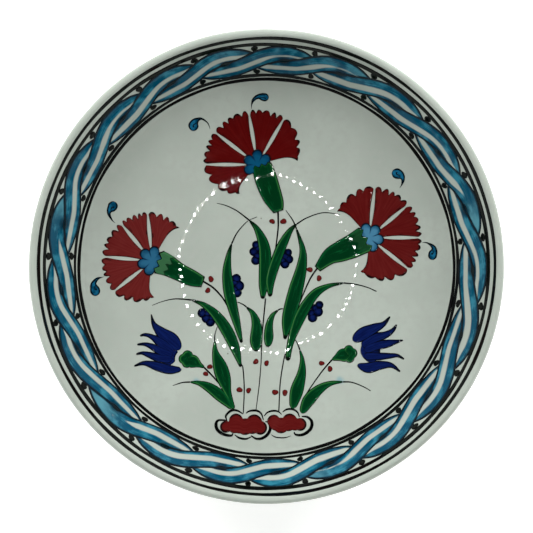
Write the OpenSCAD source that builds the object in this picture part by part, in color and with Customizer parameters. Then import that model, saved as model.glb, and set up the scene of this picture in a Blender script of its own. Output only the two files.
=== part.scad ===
// Hand painted deep coupe plate: a fired body on a foot ring, a white ground over it,
// a rope border on the wall and a spray of carnations and tulips in the well.
// Origin: centre of the foot ring's contact face. +Z up, +Y towards the top of the spray.

/* [Plate] */
// Diameter over the lip
rim_d = 200; // [190:1:230]
// Height from the table to the top of the lip
height = 46; // [44:0.5:50]
// Height of the lowest point of the well above the table
well_z = 11.6; // [10.5:0.1:13]
// Radius of curvature of the well
well_curve_r = 275; // [255:5:310]
// Slope of the inner wall, in degrees above the table
wall_slope = 54.5; // [53:0.5:57]
// Radius of the bend between the well and the wall
bend_r = 9; // [7:0.5:12]
// Slope of the outer wall, in degrees above the table
outer_slope = 58; // [57.5:0.5:60]
// Radius of the bend under the wall
outer_bend_r = 18; // [16:0.5:20]
// Thickness of the lip
lip_t = 3.6; // [3.2:0.1:4.4]
// Thickness of the floor
floor_t = 5.6; // [5:0.1:6.5]

/* [Foot ring] */
// Outer diameter of the foot ring
foot_d = 100; // [80:1:120]
// Width of the foot ring
foot_w = 6; // [4:0.5:9]
// Chamfer on both edges of the contact face
foot_chamfer = 0.8; // [0.4:0.1:1.5]

/* [Coats] */
// Thickness of the white ground
ground_t = 0.5; // [0.3:0.05:0.8]
// Thickness of a line or wash of colour
paint_t = 0.25; // [0.15:0.05:0.5]
// Thickness of the red clay colour, which stands in relief
red_t = 0.4; // [0.25:0.05:0.7]

/* [Border] */
// Width of the line below the lip
rim_line_w = 1.6; // [1.2:0.1:2.2]
// Bare strip between the rim line and the start of the lip's round
rim_line_inset = 0.3; // [0.1:0.1:0.8]
// Bare strip between the rim line and the rope's outer line
rim_strip_w = 1.9; // [1.2:0.1:2.2]
// Width of the rope's outer line
outer_line_w = 1; // [0.7:0.1:1.5]
// Width of each of the two lines inside the rope
inner_line_w = 0.95; // [0.7:0.05:1.2]
// Bare strip between the rope and the first line inside it
rope_strip_w = 0.45; // [0.3:0.05:0.8]
// Bare strip between the two lines inside the rope
inner_strip_w = 1; // [0.8:0.1:1.4]
// Number of strands in the rope
strand_n = 21; // [17:1:25]
// Width of the outlines of the strands
strand_line_w = 0.6; // [0.35:0.05:0.7]
// Diameter of the dots in the gaps of the rope
gap_dot_d = 2.8; // [2:0.1:3]
// Diameter of the eyes between the strands
eye_d = 3.2; // [2.4:0.1:3.6]

/* [Spray] */
// Bare margin between the spray and the edge of the well
spray_margin = 1.3; // [0.5:0.1:4]
// Diameter of the red dots beside the stems
red_dot_d = 2.3; // [1.6:0.1:2.6]
// Width of the scalloped outlines of the two clumps
clump_line_w = 0.9; // [0.6:0.1:1.2]
// Bare strip between a clump and its outline
clump_strip_w = 1.4; // [1:0.1:1.6]
// Greatest width of the bare gaps between carnation petals
petal_gap_w = 1.8; // [1.2:0.1:2.2]
// Depth of the teeth on a carnation petal
tooth_depth = 1.7; // [1:0.1:2.2]

/* [Hidden] */
$fn = 180;
ink = "#101612";
red = "#7a1e20";
green = "#0b5a30";
cobalt = "#131f6a";
turquoise = "#1f6c9c";
white = "#e3e7dd";
clay = "#d8c3a4";

// Section of the plate, in [radius, height]: two chains of tangent arcs and lines
function down(slope) = [sin(slope), -cos(slope)];
// By how much a round runs over into the surfaces that it touches, so that they join
weld = 0.002;
// By how much a colour stands off from the ground, so that the two don't overlap
seat = 0.08;
lip_r = lip_t / 2;
lip_c = [rim_d / 2 - lip_r, height - lip_r];
well_c = [0, well_z + well_curve_r];
under_r = well_curve_r + floor_t;
wall_top = lip_c - lip_r * down(wall_slope);
outer_top = lip_c + lip_r * down(outer_slope);
// Slope at which a bend of radius r leaves the arc of radius big_r about well_c, so that it
// also touches the straight wall through p
function bend_start(big_r, r, slope, p) = slope - acos(((p - well_c) * down(slope) - r) / (big_r - r));
bend_slope = bend_start(well_curve_r, bend_r, wall_slope, wall_top);
bend_c = well_c + (well_curve_r - bend_r) * down(bend_slope);
wall_foot = bend_c + bend_r * down(wall_slope);
wall_len = norm(wall_top - wall_foot);
outer_bend_slope = bend_start(under_r, outer_bend_r, outer_slope, outer_top);
outer_bend_c = well_c + (under_r - outer_bend_r) * down(outer_bend_slope);
foot_r = foot_d / 2;
well_edge_r = well_curve_r * sin(bend_slope);

// Border: distances up the wall from wall_foot, and angles round the bend
rim_line_s = [wall_len - rim_line_inset - rim_line_w, wall_len - rim_line_inset];
outer_line_s = [rim_line_s[0] - rim_strip_w - outer_line_w, rim_line_s[0] - rim_strip_w];
rope_w = outer_line_s[0];
function bend_turn(length) = length / bend_r * 180 / PI;
inner_line_top = wall_slope - bend_turn(rope_strip_w);
inner_line_a = [inner_line_top - bend_turn(inner_line_w), inner_line_top];
well_line_a = inner_line_a - [1, 1] * bend_turn(inner_line_w + inner_strip_w);
strand_pitch = 360 / strand_n;
// Turn of the first eye, clockwise from +Y
first_eye_turn = 4.9;

// Curls over the petals: a round head [x, y, radius] and a tail
top_curls = [
    [[-31.8, 62.2, 2.3], [[-32, 63.2, 1.7], [-29.3, 64.4, 1.2], [-26.8, 63.7, 0.7], [-24.7, 60.3, 0.2]]],
    [[-0.9, 74.2, 1.8], [[-1.2, 74.5, 1.5], [-3.5, 74.4, 1.3], [-5.4, 72.9, 0.8], [-6.3, 69.8, 0.2]]]];
left_curls = [
    [[-66.9, 26.3, 2.1], [[-67.2, 25.8, 1.8], [-68.4, 23.9, 1.4], [-68, 21.6, 0.9], [-66.3, 19.6, 0.2]]],
    [[-75, -10.6, 2.1], [[-75.2, -9.8, 1.9], [-75.6, -7.7, 1.5], [-74.5, -5.8, 0.9], [-72.1, -4.7, 0.2]]]];
right_curls = [
    [[57, 41.1, 2.1], [[57.4, 41.1, 1.8], [59.2, 40, 1.5], [59.9, 38, 0.9], [58.3, 34.9, 0.2]]],
    [[72.6, 5, 2.1], [[72.8, 5.8, 1.9], [73.4, 7.9, 1.5], [72.2, 9.6, 0.9], [69.3, 10.2, 0.2]]]];

// Spray: it is drawn by points of its own and scaled to the well by its farthest reach, a curl's head
function reach(head) = norm([head[0], head[1]]) + head[2];
spray_reach = max([for (c = concat(top_curls, left_curls, right_curls)) reach(c[0])]);
spray_scale = (well_edge_r - spray_margin) / spray_reach;
// A real size, as it is drawn before that scaling
function drawn(size) = size / spray_scale;

// Curve through hand-set points, with a given number of steps in each span
function ends_doubled(p) = concat([2 * p[0] - p[1]], p, [2 * p[len(p) - 1] - p[len(p) - 2]]);
function span(a, b, c, d, t) =
    b + t * (c - a) / 2 + t * t * (a - 2.5 * b + 2 * c - d / 2) + t * t * t * (1.5 * (b - c) + (d - a) / 2);
function curve(p, steps) = let (q = ends_doubled(p))
    concat([for (i = [0 : len(p) - 2], k = [0 : steps - 1])
        span(q[i], q[i + 1], q[i + 2], q[i + 3], k / steps)], [p[len(p) - 1]]);
function reversed(p) = [for (i = [len(p) - 1 : -1 : 0]) p[i]];
function flat(p) = [for (q = p) [q[0], q[1]]];

// Brush stroke: points [x, y, half width] along its middle
least_half_w = 0.1;
function side(q, s) = [for (i = [0 : len(q) - 1]) let (
    d = flat(q)[min(i + 1, len(q) - 1)] - flat(q)[max(i - 1, 0)],
    n = [-d[1], d[0]] / norm(d)) flat(q)[i] + s * max(q[i][2], drawn(least_half_w)) * n];
module stroke(p, steps = 3) {
    q = curve(p, steps);
    polygon(concat(side(q, -1), reversed(side(q, 1))));
}
module strokes(list, steps = 3) {
    for (p = list) stroke(p, steps);
}
// Round blobs: [x, y, radius], each grown by a length or by a share of its radius
module blobs(list, grow = 0, share = 0) {
    for (b = list) translate([b[0], b[1]]) circle(b[2] * (1 + share) + grow);
}

// Leaves of the spray, in pairs
centre_leaf_pts = [
    [[-1.7, -14.4, 0.8], [-1.3, -8, 2], [-0.6, 3, 2.6], [-1.4, 10, 2.3], [-4.2, 16.5, 1.3],
        [-7.6, 20.5, 0.4]],
    [[1.6, -13.4, 0.8], [1.7, -6, 2], [4.4, 3, 2.2], [7.2, 10, 2], [10.4, 15.8, 1.2], [13.3, 18.8, 0.4]]];
left_leaf_pts = [
    [[-11, -33.8, 0.6], [-13.2, -25, 1.6], [-16.2, -13, 2.4], [-17.5, -3, 2], [-16.8, 5, 1.1],
        [-15.5, 10, 0.4]],
    [[-11.4, -44.4, 0.5], [-13.6, -37, 1.9], [-17.2, -29, 2.5], [-22, -22, 2.1], [-27.5, -17.2, 1.2],
        [-33, -14.8, 0.4]]];
right_leaf_pts = [
    [[8.1, -32.2, 0.6], [9.7, -23, 2.7], [12.8, -11, 3], [15.6, 0, 2.2], [16, 7.5, 1.3], [13.4, 16.5, 0.4]],
    [[9.3, -41.6, 1], [10.8, -33, 1.5], [15, -22, 2.4], [20.8, -12.8, 2], [27, -8.8, 1.1], [34, -7.3, 0.4]]];
small_leaf_pts = [
    [[-4.6, -37.6, 1.2], [-4.6, -33, 2.6], [-4.4, -26, 2.1], [-6, -21, 1.2], [-8.8, -18, 0.4]],
    [[0.6, -35.6, 1.1], [0.9, -31.5, 2], [1.2, -26, 1.6], [2.6, -21.8, 1], [5, -19.4, 0.4]]];
left_tulip_leaf_pts = [
    [[-14.4, -62.6, 0.8], [-16.9, -56, 1.5], [-18.8, -49.5, 2.9], [-20.6, -44, 2.9], [-22.6, -38, 1.4],
        [-22.9, -33, 0.4]],
    [[-15.2, -62.4, 0.9], [-20, -57.2, 2.3], [-25, -53.4, 2], [-29.5, -51.4, 1.1], [-33.5, -50.8, 0.4]]];
right_tulip_leaf_pts = [
    [[11.4, -62.4, 1.4], [13.2, -55, 2.7], [15.4, -47.5, 1.9], [15.8, -41.5, 1], [14.8, -37, 0.4]],
    [[15.4, -64.4, 1.3], [18.5, -58.8, 2.5], [23, -54.2, 2], [28, -51.5, 1.1], [33.5, -50.7, 0.4]]];
all_leaf_pts = concat(centre_leaf_pts, left_leaf_pts, right_leaf_pts, small_leaf_pts,
    left_tulip_leaf_pts, right_tulip_leaf_pts);

// Fine lines drawn on from the leaves' tips
whip_pts = [
    [[-7.6, 20.5, 0.4], [-13, 24.6, 0.3], [-18, 27, 0.25], [-22, 28, 0.15]],
    [[13.3, 18.8, 0.4], [18, 21.6, 0.3], [25, 23.8, 0.25], [32.4, 23, 0.15]],
    [[-15.5, 10, 0.4], [-13, 15, 0.3], [-8.6, 19.9, 0.2], [-4.2, 22, 0.15]],
    [[-33, -14.8, 0.4], [-40, -14.3, 0.3], [-45.5, -15.3, 0.2], [-50.5, -17.2, 0.15]],
    [[13.4, 16.5, 0.4], [11.6, 20.6, 0.3], [8.5, 25, 0.15]],
    [[34, -7.3, 0.4], [39.5, -7.9, 0.3], [44.5, -9.2, 0.25], [48.6, -11, 0.25]],
    [[-8.8, -18, 0.4], [-10.6, -16.7, 0.3], [-13, -15.7, 0.25]],
    [[5, -19.4, 0.4], [6, -18.9, 0.35], [7.4, -18.7, 0.3]],
    [[-22.9, -33, 0.4], [-22.8, -30, 0.25], [-21.8, -26.6, 0.15]],
    [[-33.5, -50.8, 0.4], [-37, -51, 0.3], [-41.2, -52.3, 0.15]],
    [[14.8, -37, 0.4], [13.9, -34.6, 0.3], [12.8, -32.4, 0.25]],
    [[33.5, -50.7, 0.4], [37.5, -50.9, 0.3], [42, -52.5, 0.25], [45.7, -54.5, 0.2]]];

// Stems, from the foot of the spray upwards
carnation_stem_pts = [
    [[-4.6, -63, 0.2], [-3.2, -52, 0.25], [-2.4, -42, 0.25], [-1.9, -30, 0.3], [-0.4, -14, 0.35]],
    [[3.6, 5, 0.3], [4.6, 12, 0.35], [5.2, 18, 0.4], [5.1, 25, 0.45]],
    [[-10.2, -64.6, 0.25], [-9.8, -54, 0.3], [-10.4, -45, 0.3], [-11.3, -43, 0.3]],
    [[-14.2, -24, 0.35], [-16.7, -18.8, 0.35], [-19.4, -14, 0.4], [-23.4, -9.6, 0.45], [-28.4, -6.3, 0.45]],
    [[5.4, -63.9, 0.3], [6, -52, 0.3], [7.3, -43, 0.3], [8.3, -38.6, 0.3]],
    [[14.2, -17.4, 0.3], [16.4, -12, 0.35], [19.4, -5.4, 0.4], [22.6, -0.6, 0.45]]];
tulip_stem_pts = [
    [[-18.8, -55, 0.25], [-21, -51.5, 0.35], [-24, -48, 0.4], [-27.6, -44.4, 0.45]],
    [[15.6, -59, 0.25], [20, -52.4, 0.3], [25, -45.6, 0.35], [29, -41, 0.45]]];

// Cobalt berries, half hidden by the leaves: three lobes each, and a body that joins them
berry_blobs = [
    [-4.6, 9.6, 1.9], [-5.7, 6.6, 2], [-4.8, 2.7, 2.1],
    [9.6, 6.2, 1.8], [10, 3.2, 2], [8.2, 1.1, 2.1],
    [-13.4, -5.4, 2.2], [-12.2, -8.6, 2.4], [-13.1, -11.6, 2.2],
    [-28.4, -20.6, 2.2], [-26.6, -22.9, 2.2], [-24.9, -24.6, 2.1],
    [23.4, -17, 1.9], [22.8, -20, 2.3], [20.4, -22.6, 2.2]];
berry_body_pts = [
    [[-4.2, 9.4, 1.6], [-4.3, 6.4, 1.9], [-4.2, 2.8, 1.8]],
    [[8.9, 6.2, 1.5], [8.4, 3.4, 1.9], [7.4, 1.2, 1.8]],
    [[-13.9, -5.2, 1.9], [-13.4, -8.6, 2.1], [-13.5, -11.8, 1.9]],
    [[-27.4, -20, 1.8], [-25.7, -22.1, 1.9], [-24, -23.8, 1.8]],
    [[22.3, -16.8, 1.6], [21.2, -19.5, 2], [19.2, -22.2, 1.8]]];

// Red dots, in pairs beside the stems
red_dot_places = [[2.5, 20], [7.5, 20], [-24.6, -5.6], [-26, -10.6], [19.2, -1.4], [23.3, -5.2],
    [-25, -44.2], [-26.8, -47.3], [24.3, -42.7], [28, -45.1], [-4.7, -42], [0, -42.7],
    [-11.9, -54.3], [-7.9, -54.6], [3.8, -55.4], [8.1, -55.6]];

// Red clumps at the foot of the spray
left_clump_blobs = [[-13.4, -67.6, 2.9], [-17.8, -70.2, 2.4], [-14, -70.3, 2.6], [-12, -70.4, 2.6],
    [-9.4, -70.2, 3.4], [-6.2, -70.4, 2.8], [-5.4, -68.4, 3.3], [-2.7, -70.7, 2.8]];
right_clump_blobs = [[3.2, -67.9, 2.7], [3.9, -69.2, 2.5], [6.4, -69.7, 3.2], [9.6, -69.2, 2.8],
    [10.2, -67.8, 3.1], [12.4, -69.1, 2.6], [14.8, -69.2, 2.6]];
module clump_outline(list) {
    difference() {
        blobs(list, drawn(clump_strip_w + clump_line_w));
        blobs(list, drawn(clump_strip_w));
    }
}

// Heart of a carnation, as drawn: radius of its disc, then reach and radius of its lobes, then reach
// of the petals' roots, which lie under the disc
heart_form = [4.6, 4.4, 2.3, 4.2];
heart_lobe_turns = [-88, -31, 31, 88];

// Carnation: centre, petal length, middle direction, turns at which its fan of petals starts,
// is parted and ends, and by what share of its length the fan's first and last petals fall short
carnation_top = [[-4, 45], 23.9, 122, [4.5, 59.7, 99.5, 143, 180, 239], [0.26, 0.37]];
carnation_left = [[-50.5, 2.4], 21.8, 165, [50, 95, 129, 174.7, 219, 274], [0.13, 0.27]];
carnation_right = [[45.3, 12.7], 22.8, 20, [-105, -39, 0, 40.6, 84, 141], [0.33, 0.2]];
calyx_top_pts = [[-2, 44.6, 4.4], [-0.5, 39.5, 5], [1.8, 33, 4.7], [4, 28, 3.8], [5.3, 24.2, 2.3]];
calyx_left_pts = [[-47.4, 2, 5.4], [-43.5, 0.4, 4.8], [-38.5, -2.5, 4], [-33, -5.1, 3.7], [-28, -6.9, 2.5]];
calyx_right_pts = [[43.5, 12, 6], [38, 9, 5.4], [33, 6.8, 4.8], [28, 4.4, 3.7], [22.5, -1.1, 1.7]];
teeth_per_petal = 5;
points_per_tooth = 6;
// Form of a tooth: 1 is a straight zigzag, more is a rounder tip
tooth_power = 2.2;
// How soon along the edge such a petal grows to its full length: 1 is evenly, more is sooner
shortfall_power = 1.5;
petal_side_steps = 5;
// Width of a gap at its ends, as a share of its greatest width
gap_end_share = 0.3;
// By how far the free side of the fan's first and last petals is drawn in behind its hooked tip
free_side_tuck_angle = 10;

function polar(c, r, a) = c + r * [cos(a), sin(a)];
// A petal's shortfalls at the two ends of its edge: only the fan's first and last petals have one
function shortfalls(flower, i) = [i == 0 ? flower[4][0] : 0, i == len(flower[3]) - 2 ? flower[4][1] : 0];
// Teeth along a petal's edge: a free end is the tip of a tooth, and every other end is a notch
function edge_teeth(short) = teeth_per_petal - (short[0] + short[1] > 0 ? 0.5 : 0);
function tooth(x) = abs(2 * (x - floor(x)) - 1) ^ tooth_power;
// Length of a petal at share t of its edge
function petal_r(length, t, short) =
    length * (1 - short[0] * (1 - t) ^ shortfall_power - short[1] * t ^ shortfall_power)
    - drawn(tooth_depth) * tooth((short[0] > 0 ? 0.5 : 0) + edge_teeth(short) * t);
// Angle by which a petal's side stands off from the line that parts it, at share u of its length
function side_turn(u, r, free) = free ? free_side_tuck_angle * (1 - u ^ 4)
    : atan(drawn(petal_gap_w) / 2 * (gap_end_share + (1 - gap_end_share) * sin(180 * u)) / r);
function petal_side(c, length, a, way, free) = [for (k = [0 : petal_side_steps]) let (
    u = k / petal_side_steps,
    r = heart_form[3] + u * (length - heart_form[3]))
    polar(c, r, a + way * side_turn(u, r, free))];
function petal(c, length, a0, a1, short) = let (
    r0 = petal_r(length, 0, short),
    r1 = petal_r(length, 1, short),
    b0 = a0 + side_turn(1, r0, short[0] > 0),
    b1 = a1 - side_turn(1, r1, short[1] > 0),
    steps = points_per_tooth * edge_teeth(short),
    edge = [for (k = [1 : steps - 1]) let (t = k / steps)
        polar(c, petal_r(length, t, short), b0 + t * (b1 - b0))])
    concat(petal_side(c, r0, a0, 1, short[0] > 0), edge,
        reversed(petal_side(c, r1, a1, -1, short[1] > 0)));

module heart_shape(flower) {
    translate(flower[0]) circle(heart_form[0]);
    for (a = heart_lobe_turns)
        translate(polar(flower[0], heart_form[1], flower[2] + a)) circle(heart_form[2]);
}
// Calyx: a tapering tube with three pointed sepals at the heart, whose height is a share of its width
sepal_n = 3;
sepal_share = 0.18;
module calyx_shape(pts) {
    stroke(pts);
    top = flat(pts)[0];
    along = (top - flat(pts)[1]) / norm(top - flat(pts)[1]);
    half_sepal = pts[0][2] / sepal_n * [-along[1], along[0]];
    sepal_h = sepal_share * 2 * pts[0][2];
    for (k = [1 - sepal_n : 2 : sepal_n - 1])
        polygon([top + (k - 1) * half_sepal - along, top + k * half_sepal + sepal_h * along,
            top + (k + 1) * half_sepal - along]);
}

module curl_shapes(list) {
    for (c = list) {
        blobs([c[0]]);
        stroke(c[1]);
    }
}

// Tulips: five pointed petals that grow together into a cup, and a three-lobed calyx. Between them
// is a bare strip, whose width is a share of a lobe's radius
tulip_strip_share = 0.74;
left_tulip_pts = [
    [[-38, -36.5, 2], [-42, -32.7, 3.6], [-46.5, -29, 2.5], [-49.6, -25.3, 1.1], [-50.8, -21, 0.25]],
    [[-41, -38, 2], [-46, -34, 2.3], [-50.5, -30.9, 1.2], [-53.5, -30, 0.8], [-55.6, -30.5, 0.45]],
    [[-41.5, -39.5, 2], [-47, -37, 2], [-51, -34.9, 1.3], [-54, -34.1, 0.8], [-56.8, -34.3, 0.45]],
    [[-41.5, -41, 2], [-47, -40.3, 2], [-51.5, -38.8, 1.4], [-54.5, -38, 0.8], [-57.2, -38.5, 0.45]],
    [[-37.4, -45.3, 1], [-42.5, -45.3, 2.1], [-48, -43.8, 2.1], [-53.5, -42.4, 1.1], [-58, -43.6, 0.4]],
    [[-39.5, -40.5, 5.4], [-44, -38.5, 6.4], [-48, -36.5, 3]]];
left_calyx_blobs = [[-34.8, -39.3, 2.4], [-36.5, -40.7, 2.3], [-35.1, -42.5, 2.2]];
left_calyx_pts = [[-35.4, -40.9, 2.8], [-32, -42, 2.9], [-29.4, -43.4, 1.3], [-27.4, -44.5, 0.5]];
right_tulip_pts = [
    [[38.2, -32.8, 1.8], [42.5, -29.8, 3], [47.5, -27.3, 2.3], [51.5, -25.3, 1.2], [54.4, -22, 0.4]],
    [[42, -35, 2], [48, -31.5, 2.2], [52.5, -30, 1.6], [55.5, -28, 1], [57.2, -25.5, 0.45]],
    [[43, -37, 2], [49, -34.8, 2.1], [53.5, -33.8, 1.8], [57, -33, 1], [60, -32.3, 0.3]],
    [[43, -39.5, 2], [49, -39.5, 1.8], [54, -39.2, 1.3], [57.5, -39.1, 0.8], [60.3, -40.6, 0.4]],
    [[40, -43.3, 1], [44.5, -44.5, 2.4], [49.5, -43.4, 2.1], [54.6, -43.3, 1.2], [58.5, -46, 0.4]],
    [[41.5, -38, 5.2], [46, -37, 6], [50, -36, 3]]];
right_calyx_blobs = [[36.3, -36.8, 2.2], [37.8, -38.2, 2.3], [36.6, -40.3, 2.2]];
right_calyx_pts = [[37, -38.5, 2.8], [33.5, -39.2, 3], [31, -40.2, 1.6], [28.8, -41.2, 0.5]];

// Rope: the outer edge of one strand, in strand pitches from its middle and in rope widths, and
// the inner edge, which is the outer edge turned by half a turn
strand_top = [[-0.5, 0], [-0.26, 0.15], [-0.08, 0.27], [0.1, 0.38], [0.32, 0.455], [0.54, 0.48],
    [0.77, 0.43], [0.97, 0.3]];
strand_base = [for (p = reversed(strand_top)) -p];
// The bare stripe along a strand, with its half width in rope widths
strand_stripe = [[-0.88, -0.25, 0.02], [-0.7, -0.27, 0.08], [-0.4, -0.26, 0.1], [0, -0.05, 0.11],
    [0.3, 0.12, 0.09], [0.55, 0.19, 0.07], [0.78, 0.21, 0.055], [0.93, 0.22, 0.02]];
rope_steps = 2;
function wall_r(s) = wall_foot[0] + s * cos(wall_slope);
function rope_point(i, p) = let (turn = first_eye_turn + (i + 0.5 + p[0]) * strand_pitch,
    r = wall_r(rope_w * (0.5 + p[1]))) r * [sin(turn), cos(turn)];
function rope_points(i, pts) = [for (p = pts) rope_point(i, p)];
function lifted(pts, by) = [for (p = pts) [p[0], p[1] + by]];
function shifted(pts, by) = [for (p = pts) [p[0] + by, p[1]]];
half_line = strand_line_w / 2 / rope_w;
top_curve = curve(strand_top, rope_steps);
base_curve = curve(strand_base, rope_steps);
stripe_curve = curve(strand_stripe, rope_steps);
// Part of a curve between two places along the rope
function part(pts, from, to) = [for (p = pts) if (p[0] >= from && p[0] <= to) p];
// A strand, inside its outline: its head and its tail lie under the next strands, so there its
// own edge stops at one share of a pitch and the next strand's edge bounds it from another onwards
own_edge_share = 0.42;
next_edge_share = 0.62;
head_end = strand_top[len(strand_top) - 1][0];
tail_end = -head_end;
strand_outline = concat(
    lifted(part(base_curve, tail_end, own_edge_share), half_line),
    lifted(part(shifted(top_curve, 1), next_edge_share, head_end), half_line),
    reversed(lifted(part(top_curve, -own_edge_share, head_end), -half_line)),
    reversed(lifted(part(shifted(base_curve, -1), tail_end, -next_edge_share), -half_line)));
stripe_outline = concat([for (p = stripe_curve) [p[0], p[1] - p[2]]],
    reversed([for (p = stripe_curve) [p[0], p[1] + p[2]]]));
// Round dot on the rope's band; pitch_w is one strand's share of the way round
dot_sides = 16;
pitch_w = strand_pitch * PI / 180 * wall_r(rope_w / 2);
function dot(i, p, d) = [for (k = [0 : dot_sides - 1]) let (turn = k * 360 / dot_sides)
    rope_point(i, p + d / 2 * [cos(turn) / pitch_w, sin(turn) / rope_w])];
// The dots stand this clear of the two lines that bound the rope
dot_clear = 0.15;
outer_gap = [0.01, 0.5 - (gap_dot_d / 2 + dot_clear) / rope_w];
inner_gap = [0.03, -0.5 + (gap_dot_d / 2 + dot_clear) / rope_w];
eye_place = [-0.5, 0];

module strand_shapes() {
    for (i = [0 : strand_n - 1]) difference() {
        polygon(rope_points(i, strand_outline));
        polygon(rope_points(i, stripe_outline));
    }
}
module edge_line(i, pts) {
    polygon(concat(rope_points(i, lifted(pts, -half_line)),
        reversed(rope_points(i, lifted(pts, half_line)))));
}
module gap_dots(place) {
    for (i = [0 : strand_n - 1]) polygon(dot(i, place, gap_dot_d));
}
module eye_shapes() {
    for (i = [0 : strand_n - 1]) polygon(dot(i, eye_place, eye_d));
}

// Slice of a disc about c between two slopes
module slice(c, r, from, to) {
    intersection() {
        translate(c) circle(r);
        polygon([c, c + 2 * r * down(from), c + 2 * r * down(to)]);
    }
}
// The hollow of the plate, grown into the clay by d; its top corners lie in the air above the lip
module hollow(d) {
    n = down(wall_slope);
    past_lip = wall_top + lip_t * [cos(wall_slope), sin(wall_slope)];
    above = past_lip - rim_d / 3 * n;
    slice(well_c, well_curve_r + d, 0, bend_slope);
    translate(bend_c) circle(bend_r + d + weld);
    polygon([bend_c, wall_foot + d * n, past_lip + d * n, above, [0, above[1]]]);
}
// All that lies inside the outer skin, drawn in by d
module filled(d) {
    n = down(outer_slope);
    slice(well_c, under_r - d, 0, outer_bend_slope);
    translate(outer_bend_c) circle(outer_bend_r - d + weld);
    translate(lip_c) circle(lip_r - d + weld);
    polygon([outer_bend_c, outer_bend_c + (outer_bend_r - d) * n, outer_top - d * n, lip_c,
        wall_top + d * down(wall_slope), bend_c]);
}
module section(d) {
    intersection() {
        difference() {
            filled(d);
            hollow(d);
        }
        square([rim_d, height + lip_t]);
    }
}
module foot_section() {
    inner_r = foot_r - foot_w;
    top = well_c[1] - sqrt(under_r ^ 2 - foot_r ^ 2) + floor_t / 3;
    polygon([[inner_r, foot_chamfer], [inner_r + foot_chamfer, 0], [foot_r - foot_chamfer, 0],
        [foot_r, foot_chamfer], [foot_r, top], [inner_r, top]]);
}
// Underside within the foot ring
module recess_zone() {
    difference() {
        slice(well_c, under_r + floor_t / 2, 0, asin((foot_r - foot_w / 2) / under_r));
        translate(well_c) circle(under_r - floor_t / 2);
    }
}

// Colour on the well: the drawn shape, as thick as its film, on the ground's surface
module on_well(t) {
    intersection() {
        rotate_extrude() difference() {
            slice(well_c, well_curve_r - seat, 0, bend_slope);
            translate(well_c) circle(well_curve_r - t);
        }
        linear_extrude(height) scale(spray_scale) children();
    }
}
// Colour on the wall: a band between two distances up the wall, on the ground's surface
module wall_band(s, t) {
    n = down(wall_slope);
    up = (wall_top - wall_foot) / wall_len;
    low = wall_foot + s[0] * up;
    high = wall_foot + s[1] * up;
    rotate_extrude() polygon([low - seat * n, high - seat * n, high - t * n, low - t * n]);
}
module on_wall(t) {
    intersection() {
        wall_band([0, rope_w], t);
        linear_extrude(height) children();
    }
}
module bend_band(a, t) {
    rotate_extrude() difference() {
        slice(bend_c, bend_r - seat, a[0], a[1]);
        translate(bend_c) circle(bend_r - t);
    }
}

module plate_body() {
    color(clay) rotate_extrude() {
        section(ground_t);
        foot_section();
    }
}
module white_ground() {
    color(white) rotate_extrude() difference() {
        section(0);
        section(ground_t);
        foot_section();
        recess_zone();
    }
}
module recess_glaze() {
    color(white) rotate_extrude() difference() {
        intersection() {
            section(0);
            recess_zone();
        }
        section(ground_t);
        foot_section();
    }
}
module rim_line() {
    color(ink) wall_band(rim_line_s, paint_t);
}
module rope_outer_line() {
    color(ink) wall_band(outer_line_s, paint_t);
}
module rope_inner_line() {
    color(ink) bend_band(inner_line_a, paint_t);
}
module well_line() {
    color(ink) bend_band(well_line_a, paint_t);
}
module rope_strands() {
    color(turquoise) on_wall(paint_t) difference() {
        strand_shapes();
        eye_shapes();
        gap_dots(outer_gap);
        gap_dots(inner_gap);
    }
}
module rope_outlines() {
    color(ink) on_wall(paint_t) difference() {
        for (i = [0 : strand_n - 1]) {
            edge_line(i, part(top_curve, eye_place[0], head_end));
            edge_line(i, base_curve);
        }
        eye_shapes();
        gap_dots(outer_gap);
        gap_dots(inner_gap);
    }
}
module rope_eyes() {
    color(ink) on_wall(paint_t) eye_shapes();
}
module rope_outer_dots() {
    color(ink) on_wall(paint_t) gap_dots(outer_gap);
}
module rope_inner_dots() {
    color(ink) on_wall(paint_t) gap_dots(inner_gap);
}
module carnation_petals(flower, calyx) {
    fan = flower[3];
    color(red) on_well(red_t) difference() {
        for (i = [0 : len(fan) - 2])
            polygon(petal(flower[0], flower[1], fan[i], fan[i + 1], shortfalls(flower, i)));
        heart_shape(flower);
        calyx_shape(calyx);
    }
}
module carnation_heart(flower, calyx) {
    color(turquoise) on_well(paint_t) difference() {
        heart_shape(flower);
        calyx_shape(calyx);
    }
}
module carnation_calyx(calyx) {
    color(green) on_well(paint_t) calyx_shape(calyx);
}
module carnation_curls(curls) {
    color(turquoise) on_well(paint_t) curl_shapes(curls);
}
module top_carnation_petals() {
    carnation_petals(carnation_top, calyx_top_pts);
}
module top_carnation_heart() {
    carnation_heart(carnation_top, calyx_top_pts);
}
module top_carnation_calyx() {
    carnation_calyx(calyx_top_pts);
}
module top_carnation_curls() {
    carnation_curls(top_curls);
}
module left_carnation_petals() {
    carnation_petals(carnation_left, calyx_left_pts);
}
module left_carnation_heart() {
    carnation_heart(carnation_left, calyx_left_pts);
}
module left_carnation_calyx() {
    carnation_calyx(calyx_left_pts);
}
module left_carnation_curls() {
    carnation_curls(left_curls);
}
module right_carnation_petals() {
    carnation_petals(carnation_right, calyx_right_pts);
}
module right_carnation_heart() {
    carnation_heart(carnation_right, calyx_right_pts);
}
module right_carnation_calyx() {
    carnation_calyx(calyx_right_pts);
}
module right_carnation_curls() {
    carnation_curls(right_curls);
}
module tulip_petals(petals, lobes, calyx) {
    color(cobalt) on_well(paint_t) difference() {
        strokes(petals);
        blobs(lobes, share = tulip_strip_share);
        stroke(calyx);
    }
}
module tulip_calyx(lobes, calyx) {
    color(green) on_well(paint_t) {
        blobs(lobes);
        stroke(calyx);
    }
}
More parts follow.
